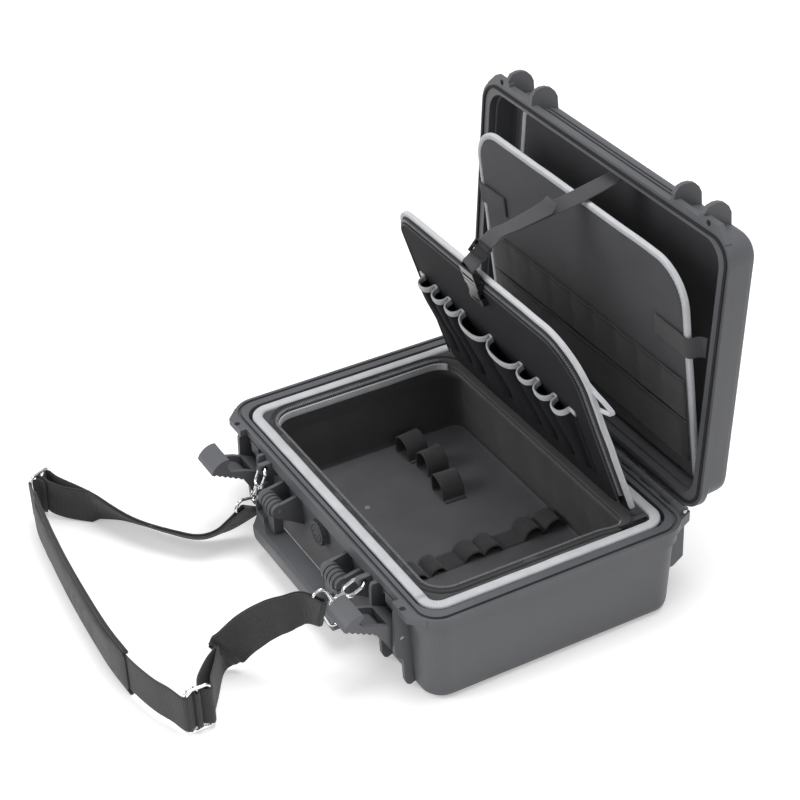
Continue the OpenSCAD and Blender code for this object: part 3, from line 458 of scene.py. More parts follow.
def ribbed(name, colour, pitch, depth, rough=0.75):
    """Narrow woven goods: strong ribs across the run, fine yarns along it."""
    mat, nodes, links, shader = finish_of(name, colour, rough, spec=0.3, sheen=0.2)
    where = coords(nodes, "UV")
    across = ribs(nodes, links, where, pitch, "X")
    along = ribs(nodes, links, where, 0.0007, "Y")
    height = mixed(nodes, links, "ADD", across, mixed(nodes, links, "MULTIPLY", along, 0.45))
    bumped(nodes, links, shader, height, depth, 0.9)
    slow = cloud(nodes, links, where, 60.0, 4.0)
    tone = mixed(nodes, links, "ADD", mixed(nodes, links, "MULTIPLY", across, 0.5),
                 mixed(nodes, links, "MULTIPLY", slow, 0.5))
    shaded(nodes, links, shader, tone, [c*0.75 for c in colour], [c*1.2 for c in colour], 0.2, 0.8)
    return mat

bag_cloth = woven("bag_cloth", (0.038, 0.038, 0.041))
pocket_cloth = woven("pocket_cloth", (0.010, 0.010, 0.012), sheen=0.0)
floor_cloth = woven("floor_cloth", (0.098, 0.096, 0.104), 0.0011)
board_cloth = woven("board_cloth", (0.048, 0.048, 0.054), 0.001, sheen=0.2)
flap_cloth = woven("flap_cloth", (0.012, 0.012, 0.014), 0.001, sheen=0.0)
pad_cloth = woven("pad_cloth", (0.036, 0.036, 0.038), 0.0009, space="Object")
grey_binding = ribbed("grey_binding", (0.50, 0.51, 0.53), 0.0011, 0.00016, rough=0.8)
black_webbing = ribbed("black_webbing", (0.036, 0.036, 0.038), 0.0019, 0.0004)
dark_piping = ribbed("dark_piping", (0.022, 0.022, 0.024), 0.0011, 0.00016)
zip_tape = ribbed("zip_tape", (0.015, 0.015, 0.017), 0.0009, 0.00015)
soft_hem = ribbed("soft_hem", (0.062, 0.062, 0.067), 0.0011, 0.00016, rough=0.85)
elastic = ribbed("elastic", (0.052, 0.051, 0.055), 0.0013, 0.0002, rough=0.85)

def plain(name, colour, rough, metal=0.0, patches=120.0):
    """One colour with faint patches, patches of them to the metre."""
    mat, nodes, links, shader = finish_of(name, colour, rough, metal)
    slow = cloud(nodes, links, coords(nodes), patches, 4.0)
    shaded(nodes, links, shader, slow, [c*0.93 for c in colour], [min(c*1.06, 1) for c in colour])
    varied_rough(nodes, links, shader, slow, rough - 0.04, rough + 0.06)
    return mat

bright_plate = plain("bright_plate", (0.78, 0.79, 0.80), 0.15, 1.0)
clip_plate = plain("clip_plate", (0.86, 0.87, 0.88), 0.36, 1.0)
steel_rod = plain("steel_rod", (0.42, 0.42, 0.44), 0.34, 1.0)
seal_foam = plain("seal_foam", (0.010, 0.010, 0.011), 0.85)
# The zip coil is dark nylon; this light grey colour is a painted highlight on its teeth.
teeth_painted_highlight = plain("teeth_painted_highlight", (0.20, 0.20, 0.21), 0.28, 0.0, 400.0)
thread = plain("thread", (0.048, 0.048, 0.052), 0.7)
pale_thread = plain("pale_thread", (0.42, 0.43, 0.45), 0.8)
print(len(bpy.data.materials), "finishes in the file")

# %% [markdown]
# ### The hard parts
# A hard part keeps its exact shape and gets one finish. Plated wire is bright, pins are plain
# steel, and the small fittings are smooth nylon. A list from finish to parts shows what is made
# of what.

# %% Finishes of the hard parts
SIDES = ("_left", "_right")
FINISH = [
    (shell_plastic, ["base_shell", "lid_shell"]),
    (grip_plastic, ["pressure_valve", "handle_grip"]),
    (latch_plastic, [n + side for n in ("latch_lever", "latch_keeper") for side in SIDES]),
    (steel_rod, ["hinge_pin"] + [n + side for n in ("latch_pin", "handle_pin") for side in SIDES]),
    (seal_foam, ["lid_gasket"]),
    (black_nylon, ["zip_slider", "zip_pull", "tether_socket", "tether_slide", "tether_buckle"]),
    (bright_plate, [n + side for n in ("snap_hook", "hook_gate", "dee_ring", "strap_slider")
                    for side in SIDES]),
    (clip_plate, ["floor_clip"]),
]
for mat, nodes in FINISH:
    for node in nodes:
        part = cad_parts[node]
        if not part.material_slots:
            part.data.materials.append(mat)
        for s in part.material_slots:
            s.material = mat
print("hard parts finished:", sum(len(nodes) for _, nodes in FINISH))

# %% [markdown]
# ## The shoulder strap
# One length of 40 mm webbing runs from the left ring through a wire slider, inside a padded
# sleeve, through the other slider and up to the right ring. It stands on its edge on the floor,
# as stiff webbing does. It is made first because it reaches furthest from the case. The strap
# is a flat outline carried along one line, weaving over and under the slider wires.

# %% The line the strap follows
left_run = [(-103, -167.1, 44.4), (-109, -186, 30), (-113, -202, 23), (-121, -216, 18.5),
            (-134, -229, 17.5), (-157, -246, 17.5), (-179, -259, 17.5), (-203, -272, 18.5),
            (-224, -288, 20.4), (-244, -302, 21.4), (-260, -311, 23.7)]
left_lean = [(.342, -.871, .352), (.5, -.65, .5), (.62, -.5, .55), (.6, -.45, .62),
             (.6, -.45, .7), (.55, -.5, .7), (.5, -.5, .72), (.4, -.4, .82), (.2, -.15, .96),
             UP, UP]
left_slide = [(-273.3, -317.2, 25.7), (-263.6, -325.9, 25.7), (-263.3, -339.0, 25.7)]
pad_run = [(-252, -341, 26), (-236, -343.5, 26), (-205, -348, 26), (-165, -352.5, 26),
           (-110, -357, 26), (-50, -360, 26), (0, -361, 26), (40, -359, 26), (76, -352, 26),
           (98, -344, 26)]
right_slide = [(118.4, -337, 25.7), (113.3, -324.5, 25.7), (118.6, -312.2, 25.7)]
right_run = [(103, -305, 23.7), (84, -294, 20.4), (61, -280, 20.4), (58, -273, 24.5),
             (61.5, -266, 32), (66.5, -256, 43), (73, -246, 54), (81, -234, 64), (89, -221, 71),
             (93, -206, 73), (103, -192.8, 69.6)]
right_lean = [UP]*9 + [(0, -.25, .97), (0, -.391, .92)]
strap_points = left_run + left_slide + pad_run + right_slide + right_run
strap_leans = left_lean + [UP]*(len(left_slide + pad_run + right_slide)) + right_lean

def band_frame(points, leans, steps):
    """A smooth centre line with the direction of the band's width and of its face."""
    line = spline(points, steps)
    return line, *frames_along(line, spline(leans, steps))

def run_lengths(line):
    total = [0.0]
    for a, b in zip(line, line[1:]):
        total.append(total[-1] + (b - a).length)
    return total

STEPS = 6
middle, strap_across, strap_face = band_frame(strap_points, strap_leans, STEPS)
along = run_lengths(middle)
left_end = along[(len(left_run) - 1)*STEPS]
right_start = along[(len(strap_points) - len(right_run))*STEPS]

def spread(s):
    """Half the distance between the two strands, s millimetres along the strap."""
    t = min(s, along[-1] - s)
    from_slide = left_end - s if s < left_end else s - right_start if s > right_start else 0.0
    return (1.2 + 1.5*math.exp(-t/9))*smoothstep(from_slide/45)

strap_line = [p + f*spread(s) for p, f, s in zip(middle, strap_face, along)]

# %% The strap itself
STRAP_W, STRAP_T = 40, 1.8
def webbing(name, line, across, face, stands_for=()):
    v, f, u = sweep(line, across, face, webbing_outline(STRAP_W, STRAP_T)[::-1])
    return sewn(name, v, f, black_webbing, "case_base", stands_for, uvs=u)

strap = webbing("shoulder_strap", strap_line, strap_across, strap_face,
                ("strap_web_left", "strap_web_right", "strap_web_pad"))

# %% [markdown]
# At each end the webbing goes round the ring and comes back along itself to the middle bar of
# the slider, where it is sewn. That is why the strap looks twice as thick between slider and
# ring. The second strand lies on the other side of the same middle line.

# %% The strands that come back
def strand_back(name, ids, ring_id, last):
    """Webbing from the main strand's side of the ring bar, round it and back to a slider bar."""
    bar, face, across = middle[ring_id], strap_face[ring_id], strap_across[ring_id]
    away = (bar - middle[ids[0]]).normalized()
    line, width = [], []
    for k in range(9):
        a = math.pi*k/8
        line.append(bar + face*2.7*math.cos(a) + away*2.7*math.sin(a))
        width.append(across)
    for i in ids:
        line.append(middle[i] - strap_face[i]*spread(along[i]))
        width.append(strap_across[i])
    tail = spline([line[-1]] + last, 5)[1:]
    line += tail
    width += [Vector(UP)]*len(tail)
    return webbing(name, line, *frames_along(line, width))

strand_left = strand_back("strap_strand_left", range(1, 8*STEPS), 0,
    [(-241, -309.5, 21.4), (-254, -321, 24.5), (-263.5, -324.6, 25.7), (-268.6, -327.6, 25.7),
     (-265.4, -330.4, 25.7), (-257, -326.4, 25.2)])
top = len(middle) - 1
strand_right = strand_back("strap_strand_right", range(top - 1, top - 8*STEPS - 2, -1), top,
    [(76, -298, 21.4), (97, -315, 24.7), (112, -321.7, 25.7), (118.4, -323.6, 25.7),
     (117.6, -327.2, 25.7), (108, -324.6, 25.5)])

# %% [markdown]
# ### The padded sleeve
# Two leaves of cloth over foam, sewn together along both edges, slide on the webbing. The
# filling is blown up with a cloth simulation: the sleeve starts thin, is remeshed evenly and
# gets a little pressure, so it swells between its seams. No point moves two millimetres, and
# none goes below the floor.

# %% The padded sleeve
def sleeve_points(line_points, high, thick, around=28):
    """A closed flat sleeve, around points to a section, a little narrower at both ends."""
    line, across, face = band_frame(line_points, [UP]*len(line_points), 8)
    n = len(line)
    sections = []
    for i in range(n):
        t = i/(n - 1)
        end = min(1.0, min(t, 1 - t)*16)
        h = high*(0.90 + 0.10*math.sqrt(end))
        w = thick*(0.55 + 0.45*math.sqrt(end))
        shape = []
        for k in range(around):
            a = 2*math.pi*k/around
            c, s = math.cos(a), math.sin(a)
            shape.append((h/2*math.copysign(abs(c)**0.55, c), w/2*math.copysign(abs(s)**0.75, s)))
        sections.append(shape)
    verts = [line[i] + across[i]*s + face[i]*t for i in range(n) for s, t in sections[i]]
    faces = []
    for i in range(n - 1):
        a, b = i*around, (i + 1)*around
        for k in range(around):
            l = (k + 1) % around
            faces.append((a + k, b + k, b + l, a + l))
    faces += [tuple(range(around)), tuple((n - 1)*around + k for k in range(around - 1, -1, -1))]
    return verts, faces, (line, across, face)

def swell(piece, pressure, cap, voxel=0.004, frames=16):
    """Fills a closed piece by cloth simulation, each point moving at most cap metres."""
    with bpy.context.temp_override(object=piece, active_object=piece, selected_objects=[piece]):
        m = piece.modifiers.new("even", "REMESH")
        m.mode, m.voxel_size = "VOXEL", voxel
        deps = bpy.context.evaluated_depsgraph_get()
        mesh = bpy.data.meshes.new_from_object(piece.evaluated_get(deps))
    piece.modifiers.clear()
    mats = list(piece.data.materials)
    piece.data = mesh
    mesh.materials.clear()
    for mat in mats:
        mesh.materials.append(mat)
    start = [v.co.copy() for v in mesh.vertices]
    c = piece.modifiers.new("cloth", "CLOTH")
    s = c.settings
    s.quality, s.mass, s.use_pressure = 6, 0.15, True
    s.uniform_pressure_force = pressure
    s.tension_stiffness = s.compression_stiffness = 12
    s.bending_stiffness = 0.6
    s.effector_weights.gravity = 0
    scene = bpy.context.scene
    c.point_cache.frame_start, c.point_cache.frame_end = 1, frames
    for f in range(1, frames + 1):
        scene.frame_set(f)
    deps = bpy.context.evaluated_depsgraph_get()
    grown = [v.co.copy() for v in piece.evaluated_get(deps).data.vertices]
    piece.modifiers.clear()
    scene.frame_set(1)
    for v, a, b in zip(mesh.vertices, start, grown):
        d = b - a
        v.co = a + (d if d.length < cap else d.normalized()*cap)
        v.co.z = max(v.co.z, 0.0006)
    mesh.polygons.foreach_set("use_smooth", [True]*len(mesh.polygons))
    smooth = piece.modifiers.new("soft", "SUBSURF")
    smooth.levels = smooth.render_levels = 1
    mesh.update()
    print(f"{piece.name}: {len(mesh.vertices)} points after filling")

sleeve_run = [(-236, -343.5, 26), (-205, -348, 26), (-165, -352.5, 26), (-110, -357, 26),
              (-50, -360, 26), (0, -361, 26), (40, -359, 26)]
sleeve_verts, sleeve_faces, sleeve_line = sleeve_points(sleeve_run, high=49, thick=7.2)
sleeve = sewn("strap_sleeve", sleeve_verts, sleeve_faces, pad_cloth, "case_base", ("strap_pad",))
swell(sleeve, pressure=3.0, cap=0.0016)

def sleeve_edge(name, side):
    line, across, face = sleeve_line
    mid = [p + a*side*24.4 for p, a in zip(line, across)]
    v, f, u = sweep(mid, across, face, oval(3.4, 4.2, 10)[::-1])
    return sewn(name, v, f, dark_piping, "case_base", uvs=u)

sleeve_low = sleeve_edge("strap_sleeve_hem_low", -1)
sleeve_high = sleeve_edge("strap_sleeve_hem_high", 1)

# %% [markdown]

# %% [markdown]
# ## The padded bag in the tub
# The bag is a stiffened shell with soft cloth glued over it. Its inside is one loft: rounded
# rectangles stacked from the mouth down to the floor, each a little wider than the one above
# because the mouth is narrower than the bag. Pulls and hollows are pushed into the loft, so
# the cloth looks held at its seams and loose between them.

# %% Lofts between loops of points
def loft(loops, close_last=True):
    """Faces between loops of as many points each. The last loop is closed with one face."""
    n = len(loops[0])
    verts, uvs, depth = [], [], [0.0]
    for a, b in zip(loops, loops[1:]):
        depth.append(depth[-1] + (Vector(b[0]) - Vector(a[0])).length)
    for d, loop in zip(depth, loops):
        run = 0.0
        for k, p in enumerate(loop):
            if k:
                run += (Vector(p) - Vector(loop[k - 1])).length
            verts.append(Vector(p))
            uvs.append((run, d))
    faces = []
    for i in range(len(loops) - 1):
        for k in range(n):
            l = (k + 1) % n
            faces.append((i*n + k, i*n + l, (i + 1)*n + l, (i + 1)*n + k))
    if close_last:
        faces.append(tuple((len(loops) - 1)*n + k for k in range(n)))
    return verts, faces, uvs

def flat_uv(verts):
    return [(v[0], v[1]) for v in verts]

print("loft ready")

# %% Inside of the bag
MOUTH_W, MOUTH_D, MOUTH_Y, MOUTH_R = 339, 209, -5.5, 24
FOOT_W, FOOT_D, FOOT_R = 345.5, 226.5, 15
WALL_TOP, WALL_FOOT, FLOOR_Z = 92.5, 11, 5.75
def sagged(p):
    """The border beside the right wall is soft and hangs a little into the opening."""
    return Vector((p.x - 6.5*smoothstep((p.x - 60)/100)*(1 - smoothstep((p.y - 60)/40)), p.y, p.z))

def bag_loop(t, z, inset=0.0):
    """Loop of the bag's inside: t is 0 at the mouth and 1 where the wall meets the floor."""
    spread = smoothstep(min(t*3.2, 1.0))
    w = MOUTH_W + (FOOT_W - MOUTH_W)*spread - 2*inset
    d = MOUTH_D + (FOOT_D - MOUTH_D)*spread - 2*inset
    cy = MOUTH_Y*(1 - spread)
    r = max(MOUTH_R + (FOOT_R - MOUTH_R)*spread - inset, 3)
    pts, out = rounded_loop(w, d, (r,)*4, cy, 12, 64, 44)
    return [sagged(Vector((p.x, p.y, z))).lerp(Vector((p.x, p.y, z)), spread) for p in pts], out

def bag_inside():
    loops = []
    for k in range(24):
        t = k/23
        z = WALL_TOP - (WALL_TOP - WALL_FOOT)*t
        pts, out = bag_loop(t, z)
        loop = []
        belly = math.sin(math.pi*t)
        for p, o in zip(pts, out):
            pull = 1.5*noise.noise(Vector((p.x/46, p.y/46, t*1.4))) + 0.9*noise.noise(
                Vector((p.x/17, p.y/17, t*3.0 + 5)))
            inward = belly*(1.1 + pull) + 0.35
            loop.append(p - o*max(inward, 0.05))
        loops.append(loop)
    for r in (2.5, 5.0, 7.2, 9.2):
        z = WALL_FOOT - 5.0*math.sin(math.acos(max(1 - r/9.4, 0)))
        pts, out = bag_loop(1.0, z, r*0.8)
        loops.append([p - o*0.35 for p, o in zip(pts, out)])
    last = loops[-1]
    for f in (0.94, 0.86, 0.76, 0.64, 0.52, 0.40, 0.28, 0.16, 0.05):
        loop = []
        for p in last:
            x, y = p.x*f, p.y*(1 - (1 - f)*0.985)
            z = FLOOR_Z + 0.22*noise.noise(Vector((x/42, y/42, 3))) + 0.10*noise.noise(
                Vector((x/15, y/15, 8)))
            loop.append(Vector((x, y, z)))
        loops.append(loop)
    return loft(loops)

v, f, u = bag_inside()
u = [(p[0], p[1]) if p[2] < WALL_FOOT + 0.5 else q for p, q in zip(v, u)]
bag = sewn("bag_inside", v, [t[::-1] for t in f], bag_cloth, "case_base", ("bag_tub",), uvs=u)
bag.data.materials.append(floor_cloth)
for p in bag.data.polygons:
    if p.center.z < 0.0085:
        p.material_index = 1
wall = bag.modifiers.new("cloth_and_board", "SOLIDIFY")
wall.thickness, wall.offset = 0.0016, -1

# %% [markdown]
# ### The border and its bindings
# Round the mouth the cloth turns flat. It ends in a thick light binding on the rim of the bag,
# with a thin dark piping nearer the mouth and a narrow light binding down inside it. The flat
# part joins two loops of points, and each binding is a sweep whose soft outline looks rolled.

# %% Border, rolled edge and binding
def rim_outline(inset, r):
    return rounded_loop(BAG_W - 2*inset, BAG_D - 2*inset, (r,)*4, 0, 12, 64, 44)

def mouth_outline(grow, corner=12, tighter=0.0):
    return rounded_loop(MOUTH_W + 2*grow, MOUTH_D + 2*grow, (MOUTH_R + grow - tighter,)*4,
                        MOUTH_Y, corner, 64, 44)

def rim_loop(inset, z):
    return at_height(rim_outline(inset, 19 - inset)[0], z)

def mouth_loop(grow, z):
    return [sagged(p) for p in at_height(mouth_outline(grow)[0], z)]

def border_loops():
    a, b = rim_loop(5.2, 95.4), mouth_loop(0.6, 95.6)
    loops = [rim_loop(5.0, 94.1), a]
    for t in (0.15, 0.35, 0.55, 0.75, 0.9):
        loop = []
        for p, q in zip(a, b):
            m = p.lerp(q, t)
            m.z = 95.9 + 0.5*math.sin(math.pi*t) + 0.3*noise.noise(Vector((m.x/19, m.y/19, 0)))
            loop.append(m)
        loops.append(loop)
    loops += [b, mouth_loop(0.0, 94.4), mouth_loop(-0.1, 92.4)]
    return loops

v, f, u = loft(border_loops(), False)
border = sewn("bag_border_cloth", v, [t[::-1] for t in f], bag_cloth, "case_base",
              ("bag_border",), uvs=u)
fold = border.modifiers.new("two_layers", "SOLIDIFY")
fold.thickness, fold.offset = 0.0012, -1

def closed_sweep(name, pts, out, outline, material, stands_for):
    v, f, u = sweep(pts, out, [Vector(UP)]*len(pts), outline, closed=True)
    return sewn(name, v, [t[::-1] for t in f], material, "case_base", stands_for, uvs=u)

def soft_box(w, h, n=16):
    """A rectangle with well rounded corners."""
    pts, power = [], 0.6
    for k in range(n):
        a = 2*math.pi*k/n
        c, s = math.cos(a), math.sin(a)
        pts.append((w/2*math.copysign(abs(c)**power, c), h/2*math.copysign(abs(s)**power, s)))
    return pts

pts, out = rim_outline(5.2, 15.8)
pts = [Vector((p.x + 0.3*noise.noise(p/21), p.y + 0.3*noise.noise(p/21 + Vector((9, 0, 0))),
               97.2 + 0.35*noise.noise(p/33))) for p in pts]
closed_sweep("bag_rim_binding", pts, out, soft_box(10.4, 6.4), grey_binding, ("bag_binding",))

pts, out = mouth_outline(7.5, tighter=0.5)
closed_sweep("bag_raised_piping", [sagged(p) for p in at_height(pts, 97.3)], out,
             oval(4.0, 3.4, 10), dark_piping, ())

def open_run(pts, out, keep):
    """The part of a closed loop that keep holds for, as one run."""
    n = len(pts)
    i = next(k for k in range(n) if keep(pts[k]) and not keep(pts[k - 1]))
    ids = []
    while keep(pts[i % n]) and len(ids) < n:
        ids.append(i % n)
        i += 1
    return [pts[k] for k in ids], [out[k] for k in ids]

def edge_strip(name, pts, out, outline, material, body="case_base", stands_for=(), at=HERE,
               lean=0.0):
    """An outline carried along an open run; lean tips it, in degrees."""
    c, s = math.cos(math.radians(lean)), math.sin(math.radians(lean))
    u = Vector(UP)
    v, f, uv = sweep(pts, [o*c + u*s for o in out], [u*c - o*s for o in out], outline)
    return sewn(name, v, [t[::-1] for t in f], material, body, stands_for, at, uv)

def in_front(limit):
    return lambda p: p.y < limit

pts, out = open_run(*mouth_outline(-0.8), in_front(94))
pts = [sagged(p) for p in at_height(pts, 90.8, 0.4, 37)]
edge_strip("bag_mouth_binding", pts, out, soft_box(2.8, 8.2), grey_binding,
           stands_for=("bag_opening_piping",))

def stitch_row(line, normals, dash, space, r):
    """Short raised stitches along a line, each a small grain with eight faces."""
    parts = []
    for a, d, i in marks_along(line, dash + space):
        n = normals[i]
        side, up = d.cross(n).normalized()*r, n.normalized()*r
        b = a + d*dash
        m = (a + b)/2
        verts = [a - up*0.4, m + side, m + up*1.2, m - side, m - up*0.6, b - up*0.4]
        faces = [(0, k + 1, (k + 1) % 4 + 1) for k in range(4)]
        faces += [(5, (k + 1) % 4 + 1, k + 1) for k in range(4)]
        parts.append((verts, faces, [(0, 0)]*6))
    return joined(*parts)

v, f, u = stitch_row([p - o*1.45 + Vector((0, 0, 2.6)) for p, o in zip(pts, out)],
                     [-o for o in out], 2.2, 1.6, 0.3)
sewn("mouth_stitches", v, f, thread, "case_base", smooth=False)

# %% [markdown]
# ### The zip
# The zip runs along the left, front and right of the mouth, with its tape sewn to the border
# and one half of the teeth on its inner edge. The other half is on the flap. Each tooth is a
# small block of its own, so the row catches the light as a dotted line. The coil is dark; the
# teeth's light grey colour is a painted highlight.

# %% Zip of the tub
def teeth_along(name, line, out, up, body, at=HERE, pitch=2.3, reach=2.7, high=1.6):
    parts, u = [], Vector(up)
    box = [(-1, -1, -1), (1, -1, -1), (.66, 1, -1), (-.66, 1, -1),
           (-1, -1, 1), (1, -1, 1), (.66, 1, .5), (-.66, 1, .5)]
    sides = [(0, 3, 2, 1), (4, 5, 6, 7), (0, 1, 5, 4), (1, 2, 6, 5), (2, 3, 7, 6), (3, 0, 4, 7)]
    for p, d, i in marks_along(line, pitch):
        verts = [p + d*a*pitch*0.29 + out[i]*b*reach/2 + u*c*high/2 for a, b, c in box]
        parts.append((verts, sides, [(0, 0)]*8))
    v, f, _ = joined(*parts)
    return sewn(name, v, f, teeth_painted_highlight, body, (), at, smooth=False)

pts, out = open_run(*mouth_outline(3.2, 14), in_front(87))
edge_strip("bag_zip_tape", [sagged(p) for p in at_height(pts, 97.0, 0.15, 23)], out,
           soft_box(6.4, 0.9, 12), zip_tape, stands_for=("bag_zip_track",),
           lean=4)
pts, out = open_run(*mouth_outline(0.5, 14), in_front(87))
teeth_along("bag_zip_teeth", [sagged(p) for p in at_height(pts, 97.5)], [-o for o in out], UP,
            "case_base")

# %% [markdown]
# ### The cloth hinge of the flap
# Between the border and the flap runs a strip of soft cloth, folded up where the flap stands.
# It stays with the bag, and the flap turns at its upper edge.

# %% Cloth hinge
def cloth_sheet(name, rows, thick, material, body, stands_for=(), at=HERE):
    """A thin cloth through rows of points."""
    n = len(rows[0])
    verts = [Vector(p) for row in rows for p in row]
    down = run_lengths([Vector(r[n//2]) for r in rows])
    uvs = [(a, d) for row, d in zip(rows, down) for a in run_lengths([Vector(p) for p in row])]
    faces = [(i*n + k, i*n + k + 1, (i + 1)*n + k + 1, (i + 1)*n + k)
             for i in range(len(rows) - 1) for k in range(n - 1)]
    piece = sewn(name, verts, faces, material, body, stands_for, at, uvs)
    body_of = piece.modifiers.new("thick", "SOLIDIFY")
    body_of.thickness, body_of.offset = thick*MM, 0
    return piece

rows = []
for y, z in ((118.5, 96.6), (115, 97.4), (111, 97.9), (107.5, 98.4), (104.5, 99.3),
             (102.6, 101.0)):
    rows.append([(x, y + 0.4*noise.noise(Vector((x/25, y, 4))),
                  z + 0.35*noise.noise(Vector((x/19, y/8, 1)))) for x in
                 [-163 + 326*k/70 for k in range(71)]])
cloth_sheet("flap_cloth_hinge", rows, 1.2, bag_cloth, "case_base", ("bag_gusset",))

# %% [markdown]
# ### Loops on the floor of the bag
# Three wide elastic loops stand on the floor. Right of the middle, a row of smaller ones runs
# from front to back. Elastic keeps its bow by itself, so each band leaves the floor, rounds
# over and comes back, with its ends sewn down flat.

# %% Wide loops
def wide_loop(x, y, turn, lean, seed):
    """A band that leaves the floor, rounds over and comes back, open from front to back."""
    prof = [(17.5, 0.9), (13.6, 1.0), (11.9, 2.4), (12.3, 7), (12.0, 13), (10.2, 18.5),
            (6.4, 22.6), (0.6, 24.2), (-5.4, 22.9), (-9.9, 18.8), (-11.8, 13), (-12.0, 7),
            (-11.4, 2.6), (-8.2, 1.0), (-4.5, 0.9)]
    path = spline([(a, 0, b) for a, b in prof], 5)
    place = Matrix.Translation((x, y, FLOOR_Z)) @ Matrix.Rotation(math.radians(turn), 4, "Z")
    line = []
    for p in path:
        h = p.z/24
        line.append(place @ Vector((p.x + lean*h*h, lean*0.4*h, p.z)))
    side = (place.to_3x3() @ Vector((0, 1, 0))).normalized()
    across, face = frames_along(line, [
        (side + Vector((0, 0, 0.10*noise.noise(Vector((i/9, seed, 0)))))).normalized()
        for i in range(len(line))])
    band = sweep(line, across, face, webbing_outline(25, 1.5)[::-1])
    hem = sweep([line[i] + Vector((0, 0, 1.1)) for i in (0, 7)], [across[i] for i in (0, 7)],
                [Vector(UP)]*2, webbing_outline(24.4, 1.0)[::-1])
    return joined(band, hem)

loops = [wide_loop(-149, 41, 4, -3.0, 3), wide_loop(-113, 45, 1, -2.0, 8),
         wide_loop(-68, 38, -2, -3.5, 14)]
v, f, u = joined(*loops)
sewn("floor_loops_wide", v, f, elastic, "case_base", ("bag_floor_loops",), uvs=u)

# %% [markdown]
# The small loops are one long strip, sewn down between them. A short list gives the middle,
# width and height of each. Points spaced evenly along the strip keep its steep sides smooth.

# %% Row of small loops
ROW = [(-60, 18, 9), (-38, 15, 8.5), (3, 20, 11), (24, 19, 11), (71.5, 21, 13), (96, 22, 14)]
def row_height(y):
    h = 0.0
    for c, w, top in ROW:
        s = abs(y - c)/(w/2 + 0.6)
        if s < 1:
            h = max(h, (top - 1.4)*math.sqrt(1 - s**2.3))
    return h

prof, y = [], -71.0
while y <= 109:
    prof.append((y, row_height(y)))
    y += 0.8
line = [Vector((0, a, b)) for a, b in prof]
even = [line[0]]
for p in line[1:]:
    gap = p - even[-1]
    pieces = max(1, int(gap.length/1.1))
    for k in range(pieces):
        even.append(even[-1].lerp(p, 1/(pieces - k)))
for _ in range(2):
    even = [even[0]] + [(a + b*2 + c)/4 for a, b, c in zip(even, even[1:], even[2:])] + [even[-1]]
ROW_X, ROW_W, ROW_Z, n_across = 17.2, 25.6, 6.9, 9
rows = []
for k in range(n_across):
    t = k/(n_across - 1)
    x = ROW_X + ROW_W*t
    rows.append([(x + 0.8*noise.noise(Vector((p.y/20, t*2, 6))) + 0.05*p.z*math.sin(math.pi*t),
                  p.y + 0.7*noise.noise(Vector((p.y/14, t, 2))),
                  ROW_Z + p.z*(1.0 - 0.07*(1 - t)) + 0.25*noise.noise(Vector((p.y/9, t*3, 9))))
                 for p in even])
cloth_sheet("floor_loops_row", rows, 1.3, elastic, "case_base", ("bag_wall_loops",))
hem_line = [Vector(p) + Vector((0.2, 0, 0)) for p in rows[-1]]
v, f, u = sweep(hem_line, [Vector((1, 0, 0))]*len(hem_line), ups_along(hem_line, (1, 0, 0)),
                oval(1.6, 2.0, 8)[::-1])
sewn("floor_loops_row_hem", v, f, pad_cloth, "case_base", uvs=u)
base_line = [Vector((30, y, 6.15)) for y in range(-71, 110, 4)]
v, f, u = sweep(base_line, [Vector((1, 0, 0))]*len(base_line), [Vector(UP)]*len(base_line),
                webbing_outline(26, 0.9))
sewn("floor_loops_row_base", v, [t[::-1] for t in f], elastic, "case_base", uvs=u)

# %% [markdown]
# ## The flap
# The flap is two stiffened boards with a narrow gap. The inner one is smaller and carries the
# pockets, the outer one has the light binding, and the zip's tape slopes between them. Drawn
# shut, its inner face looks down into the bag.

# %% Boards covered in cloth
def soft_board(name, outline, low, high, puff, material, body, stands_for=(), at=HERE,
               seed=0.0, edge=0.8):
    """A stiffened board in its cloth: rounded at the rim, a little uneven on both faces."""
    cx = sum(p.x for p in outline)/len(outline)
    cy = sum(p.y for p in outline)/len(outline)
    def ring(share, z, amount):
        pts = []
        for p in outline:
            x, y = cx + (p.x - cx)*share, cy + (p.y - cy)*share
            pts.append(Vector((x, y, z + amount*noise.noise(Vector((x/48, y/48, seed + z)))
                               + 0.35*amount*noise.noise(Vector((x/13, y/13, seed))))))
        return pts
    steps = [0.03, 0.12, 0.24, 0.36, 0.48, 0.6, 0.71, 0.81, 0.89, 0.95, 0.985]
    loops = [ring(s, low - puff*(1 - s**4), puff) for s in steps]
    loops += [ring(1.0, low + edge, 0), ring(1.0, high - edge, 0)]
    loops += [ring(s, high + puff*(1 - s**4), puff) for s in steps[::-1]]
    v, f, _ = loft(loops)
    f.append(tuple(range(len(outline) - 1, -1, -1)))
    return sewn(name, v, f, material, body, stands_for, at, flat_uv(v))

FLAP_HALF, FLAP_TAPER, DRAWN_IN = 164.2, 0.026, 8
def flap_plan(grow, back=100.0, back_r=3):
    """Outline of the flap seen from above, narrower toward its free end and on the right."""
    base = FLAP_Y - FLAP_LEN
    front = base + 5 - grow
    pts, out = rounded_loop(2*(FLAP_HALF + grow), back - front,
                            (52 + grow, back_r, back_r, 29 + grow), (back + front)/2, 16, 64, 46)
    return [Vector((p.x*(1 + FLAP_TAPER*(p.y - base)/FLAP_LEN)
                    - DRAWN_IN*smoothstep((p.x - 30)/120), p.y, 0)) for p in pts], out

pts, out = flap_plan(-6.6, back=96, back_r=20)
soft_board("flap_inner_board", pts, 95.7, 98.3, 0.5, flap_cloth, "bag_flap", ("bag_flap",),
           FLAP, 2.0, 0.7)
pts, out = flap_plan(-1.6)
soft_board("flap_outer_board", pts, 100.2, 103.0, 0.5, flap_cloth, "bag_flap", (), FLAP,
           7.0, 0.7)

